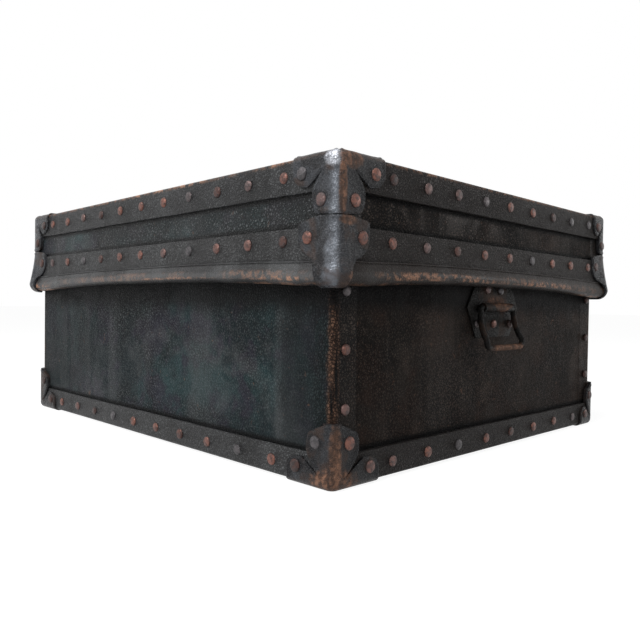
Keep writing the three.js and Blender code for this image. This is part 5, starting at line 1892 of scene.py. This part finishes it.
def cap_plans():
    """Every formed cap: kind, corners, sizes, height of its strip, matrix and its two reaches."""
    plans = []
    top = lid_binding_top + SEAT_GAP + CAP_THICKNESS
    for side, names in CORNER_PAIRS:
        shift = side * END_ROW_SHIFT
        lid_reaches = (
            lobe_reach(lid_half_length, FRONT_LID_ROW, 0, TOP_CAP),
            lobe_reach(lid_half_width, END_LID_ROW, shift, TOP_CAP),
        )
        body_reaches = (
            lobe_reach(body_half_length, FRONT_BOTTOM_ROW, 0, BOTTOM_CAP),
            lobe_reach(body_half_width, END_BOTTOM_ROW, shift, BOTTOM_CAP),
        )
        lid_matrix = cap_matrix(lid_half_length, lid_half_width, top, side, False)
        body_matrix = cap_matrix(body_half_length, body_half_width, 0, side, True)
        plans.append(("lid_corner_cap", names, TOP_CAP, TOP_STRIP_HEIGHT, lid_matrix, lid_reaches))
        plans.append(("bottom_corner_cap", names, BOTTOM_CAP, BOTTOM_STRIP_HEIGHT, body_matrix, body_reaches))
    return plans


class CHEST_OT_corner_caps(bpy.types.Operator):
    """Presses the three-lobed caps of the lid and the bottom"""

    bl_idname = "chest.corner_caps"
    bl_label = "Corner caps"

    def execute(self, context):
        for kind, names, cap, strip_height, matrix, reaches in cap_plans():
            near, opposite_corner = names
            body, look = ("lid", "lid cap") if kind.startswith("lid") else ("body", "bottom cap")
            piece = formed_cap(f"{kind}_visual_{near}", cap, strip_height, *reaches)
            placed(piece, matrix)
            copy = duplicate(piece, f"{kind}_visual_{opposite_corner}")
            placed(copy, HALF_ROUND)
            dress(piece, body, "corner_cap", material_of(look), f"{kind}_{near}")
            dress(copy, body, "corner_cap", material_of(look), f"{kind}_{opposite_corner}")
        return {"FINISHED"}


class CHEST_OT_rim_caps(bpy.types.Operator):
    """Presses the caps that wrap the bead at the corners of the rim"""

    bl_idname = "chest.rim_caps"
    bl_label = "Rim caps"

    def execute(self, context):
        pattern = rim_cap("rim_cap_pattern")
        for side, names in CORNER_PAIRS:
            near, opposite_corner = names
            place = Matrix.Translation((lid_half_length, side * lid_half_width, 0))
            matrix = place @ Matrix.Diagonal((1, side, 1, 1))
            piece = placed(duplicate(pattern, f"rim_cap_visual_{near}"), matrix)
            copy = placed(duplicate(piece, f"rim_cap_visual_{opposite_corner}"), HALF_ROUND)
            for made, corner in zip((piece, copy), names):
                dress(made, "lid", "corner_cap", material_of("rim cap"), f"rim_corner_cap_{corner}")
        bpy.data.objects.remove(pattern)
        return {"FINISHED"}


def add_rivets(name, rivet, places, body, slot, tones=FRESH_TONES):
    row = rivet_row(name, rivet, places, tones)
    return dress(row, body, slot, material_of("copper rivets"))


def turned_places(places, matrix):
    turn = matrix.to_3x3()
    return [(matrix @ Vector(place), (turn @ outward).normalized()) for place, outward in places]


class CHEST_OT_rivets(bpy.types.Operator):
    """Sets every rivet head of the strips, bands, flanges and caps"""

    bl_idname = "chest.rivets"
    bl_label = "Rivets"

    def execute(self, context):
        band_height = band_top - BAND_ROW_DROP
        bottom_height = binding_underside + BOTTOM_ROW_RISE
        rows = [
            ("lid_top_rivets", "lid", "edge_binding", top_strip_places(lid_half_width, FRONT_LID_ROW, 0),
             top_strip_places(lid_half_length, END_LID_ROW, END_ROW_SHIFT)),
            ("lid_rim_rivets", "lid", "rim_band",
             face_places(lid_half_width + BINDING_FACE, band_height, FRONT_LID_ROW),
             face_places(lid_half_length + BINDING_FACE, band_height, END_LID_ROW, END_ROW_SHIFT)),
            ("bottom_rivets", "body", "edge_binding",
             face_places(body_half_width + BINDING_FACE, bottom_height, FRONT_BOTTOM_ROW),
             face_places(body_half_length + BINDING_FACE, bottom_height, END_BOTTOM_ROW, END_ROW_SHIFT)),
        ]
        for name, body, slot, on_long, on_end in rows:
            for side, places, turn in (
                ("front", on_long, TO_FRONT), ("right", on_end, AS_BUILT),
                ("back", on_long, HALF_ROUND @ TO_FRONT), ("left", on_end, HALF_ROUND),
            ):
                add_rivets(f"{name}_{side}", STRIP_RIVET, turned_places(places, turn), body, slot)
        self.set_flange_rivets()
        self.set_cap_rivets()
        return {"FINISHED"}

    def set_flange_rivets(self):
        count, pitch = FLANGE_ROW
        heights = [binding_underside + FLANGE_ROW_FIRST + i * pitch for i in range(count)]
        for name, turn in (("right", AS_BUILT), ("left", HALF_ROUND)):
            for side, tones in ((-1, FRESH_TONES), (1, DARK_TONES)):
                y = side * (body_half_width - FLANGE_ROW_INSET)
                places = turned_places([((body_half_length, y, z), OUT) for z in heights], turn)
                row = f"flange_rivets_{name}_{'far' if side > 0 else 'near'}"
                add_rivets(row, FLANGE_RIVET, places, "body", "panel_fibre", tones)

    def set_cap_rivets(self):
        for kind, names, cap, _, matrix, reaches in cap_plans():
            is_lid = kind.startswith("lid")
            places = turned_places(cap_rivet_places(cap, *reaches, is_lid), matrix)
            if is_lid:
                places += self.rim_cap_places(matrix)
            body = "lid" if is_lid else "body"
            tones = DARK_TONES if "back_right" in names else FRESH_TONES
            for corner, turn in zip(names, (AS_BUILT, HALF_ROUND)):
                row = f"{kind}_rivets_{corner}"
                add_rivets(row, CAP_RIVET, turned_places(places, turn), body, "corner_cap", tones)

    def rim_cap_places(self, matrix):
        """The two rivets of the rim cap under a lid cap."""
        side = 1 if matrix.translation.y > 0 else -1
        height = band_top - RIM_RIVET_DROP
        along = lid_half_length - RIM_RIVET_SHARE * RIM_LONG_REACH
        across = lid_half_width - RIM_RIVET_SHARE * RIM_END_REACH
        on_long = (along, side * (lid_half_width + CAP_FACE), height)
        on_end = (lid_half_length + CAP_FACE, side * across, height)
        return [(on_long, Vector((0, side, 0))), (on_end, OUT)]


class CHEST_OT_handles(bpy.types.Operator):
    """Builds the plate, the rivets and the hanging bail on each end"""

    bl_idname = "chest.handles"
    bl_label = "Handles"

    def execute(self, context):
        plate = handle_plate("right_handle_plate_visual")
        ring = bail_ring("right_bail_visual")
        face = plate_back + PLATE_THICKNESS
        places = [((face, y, handle_height + z), OUT) for y, z in PLATE_RIVETS]
        for side, turn in (("right", AS_BUILT), ("left", HALF_ROUND)):
            if side == "left":
                plate = placed(duplicate(plate, "left_handle_plate_visual"), turn)
                ring = placed(duplicate(ring, "left_bail_visual"), turn)
            rivets = turned_places(places, turn)
            add_rivets(f"{side}_handle_rivets", PLATE_RIVET, rivets, "body", "handle_iron")
            dress(plate, "body", "handle_iron", material_of("handle iron"), f"{side}_handle_plate")
            dress(ring, f"{side}_bail", "handle_iron", material_of("handle iron"), f"{side}_handle_bail")
        return {"FINISHED"}


def camera_matrix():
    """The camera's place and turn."""
    yaw, pitch, roll = CAMERA_YAW, CAMERA_PITCH, CAMERA_ROLL
    forward = Vector((math.cos(yaw) * math.cos(pitch), math.sin(yaw) * math.cos(pitch), math.sin(pitch)))
    right = Vector((math.sin(yaw), -math.cos(yaw), 0))
    down = forward.cross(right)
    turned_right = math.cos(roll) * right + math.sin(roll) * down
    turned_down = -math.sin(roll) * right + math.cos(roll) * down
    columns = Matrix((turned_right, -turned_down, -forward)).transposed().to_4x4()
    return Matrix.Translation(CAMERA_PLACE) @ columns


def seen_directly(tree):
    """One where a camera, glossy or transmission ray looks, and nought elsewhere."""
    path = node(tree, "ShaderNodeLightPath")
    kinds = ("Is Camera Ray", "Is Glossy Ray", "Is Transmission Ray")
    return strongest(tree, *(path.outputs[kind] for kind in kinds))


class CHEST_OT_stage(bpy.types.Operator):
    """Sets the floor, the lamps, the sky and the camera"""

    bl_idname = "chest.stage"
    bl_label = "Stage"

    def execute(self, context):
        settings = context.scene.chest_stage
        context.scene.view_settings.view_transform = "Standard"
        self.add_floor(settings)
        self.add_sky(context, settings)
        for name, place, size in LAMPS:
            self.add_lamp(name, place, size, getattr(settings, name))
        bpy.ops.object.camera_add()
        camera = bpy.context.object
        camera.matrix_world = camera_matrix()
        camera.data.sensor_width = SENSOR_WIDTH
        camera.data.lens = settings.lens
        context.scene.camera = camera
        return {"FINISHED"}

    def add_floor(self, settings):
        deselect_all()
        bpy.ops.mesh.primitive_plane_add(size=settings.floor_size)
        floor = new_primitive("floor")
        material = bpy.data.materials.new("pale floor")
        material.use_nodes = True
        tree = material.node_tree
        tree.nodes.clear()
        diffuse = node(tree, "ShaderNodeBsdfDiffuse")
        feed(tree, diffuse.inputs["Color"], settings.floor)
        glow = node(tree, "ShaderNodeEmission")
        feed(tree, glow.inputs["Color"], WHITE_BACKGROUND)
        feed(tree, glow.inputs["Strength"], FLOOR_GLOW)
        blend = node(tree, "ShaderNodeMixShader")
        feed(tree, blend.inputs[0], product(tree, seen_directly(tree), FLOOR_GLOW_SHARE))
        tree.links.new(diffuse.outputs[0], blend.inputs[1])
        tree.links.new(glow.outputs[0], blend.inputs[2])
        output = node(tree, "ShaderNodeOutputMaterial")
        tree.links.new(blend.outputs[0], output.inputs["Surface"])
        floor.data.materials.append(material)

    def add_sky(self, context, settings):
        world = bpy.data.worlds.new("soft sky")
        world.use_nodes = True
        tree = world.node_tree
        background = tree.nodes["Background"]
        feed(tree, background.inputs["Color"], WHITE_BACKGROUND)
        strength = ramp(tree, seen_directly(tree), 0.0, 1.0, settings.sky, 1.0)
        feed(tree, background.inputs["Strength"], strength)
        context.scene.world = world

    def add_lamp(self, name, place, size, power):
        bpy.ops.object.light_add(type="AREA", location=place)
        lamp = bpy.context.object
        lamp.name = f"{name} lamp"
        lamp.data.energy = power
        lamp.data.size = size
        lamp.rotation_euler = (LAMP_TARGET - Vector(place)).to_track_quat("-Z", "Y").to_euler()


OPERATORS = (
    CHEST_OT_finishes,
    CHEST_OT_sheets,
    CHEST_OT_edge_strips,
    CHEST_OT_rim_bands,
    CHEST_OT_corner_caps,
    CHEST_OT_rim_caps,
    CHEST_OT_rivets,
    CHEST_OT_handles,
    CHEST_OT_stage,
)


class CHEST_PT_panel(bpy.types.Panel):
    """Lists the chest's parts in the sidebar"""

    bl_label = "Travelling chest"
    bl_idname = "CHEST_PT_panel"
    bl_space_type = "VIEW_3D"
    bl_region_type = "UI"
    bl_category = "Chest"

    def draw(self, context):
        for operator in OPERATORS:
            self.layout.operator(operator.bl_idname)
        for settings in (context.scene.chest_finish, context.scene.chest_stage):
            for name in settings.__annotations__:
                self.layout.prop(settings, name)


CLASSES = (ChestFinish, ChestStage, *OPERATORS, CHEST_PT_panel)


def register():
    for each in CLASSES:
        bpy.utils.register_class(each)
    bpy.types.Scene.chest_finish = bpy.props.PointerProperty(type=ChestFinish)
    bpy.types.Scene.chest_stage = bpy.props.PointerProperty(type=ChestStage)


def unregister():
    del bpy.types.Scene.chest_stage
    del bpy.types.Scene.chest_finish
    for each in reversed(CLASSES):
        bpy.utils.unregister_class(each)


def main():
    register()
    for operator in OPERATORS:
        group, name = operator.bl_idname.split(".")
        getattr(getattr(bpy.ops, group), name)()


if __name__ == "__main__":
    main()
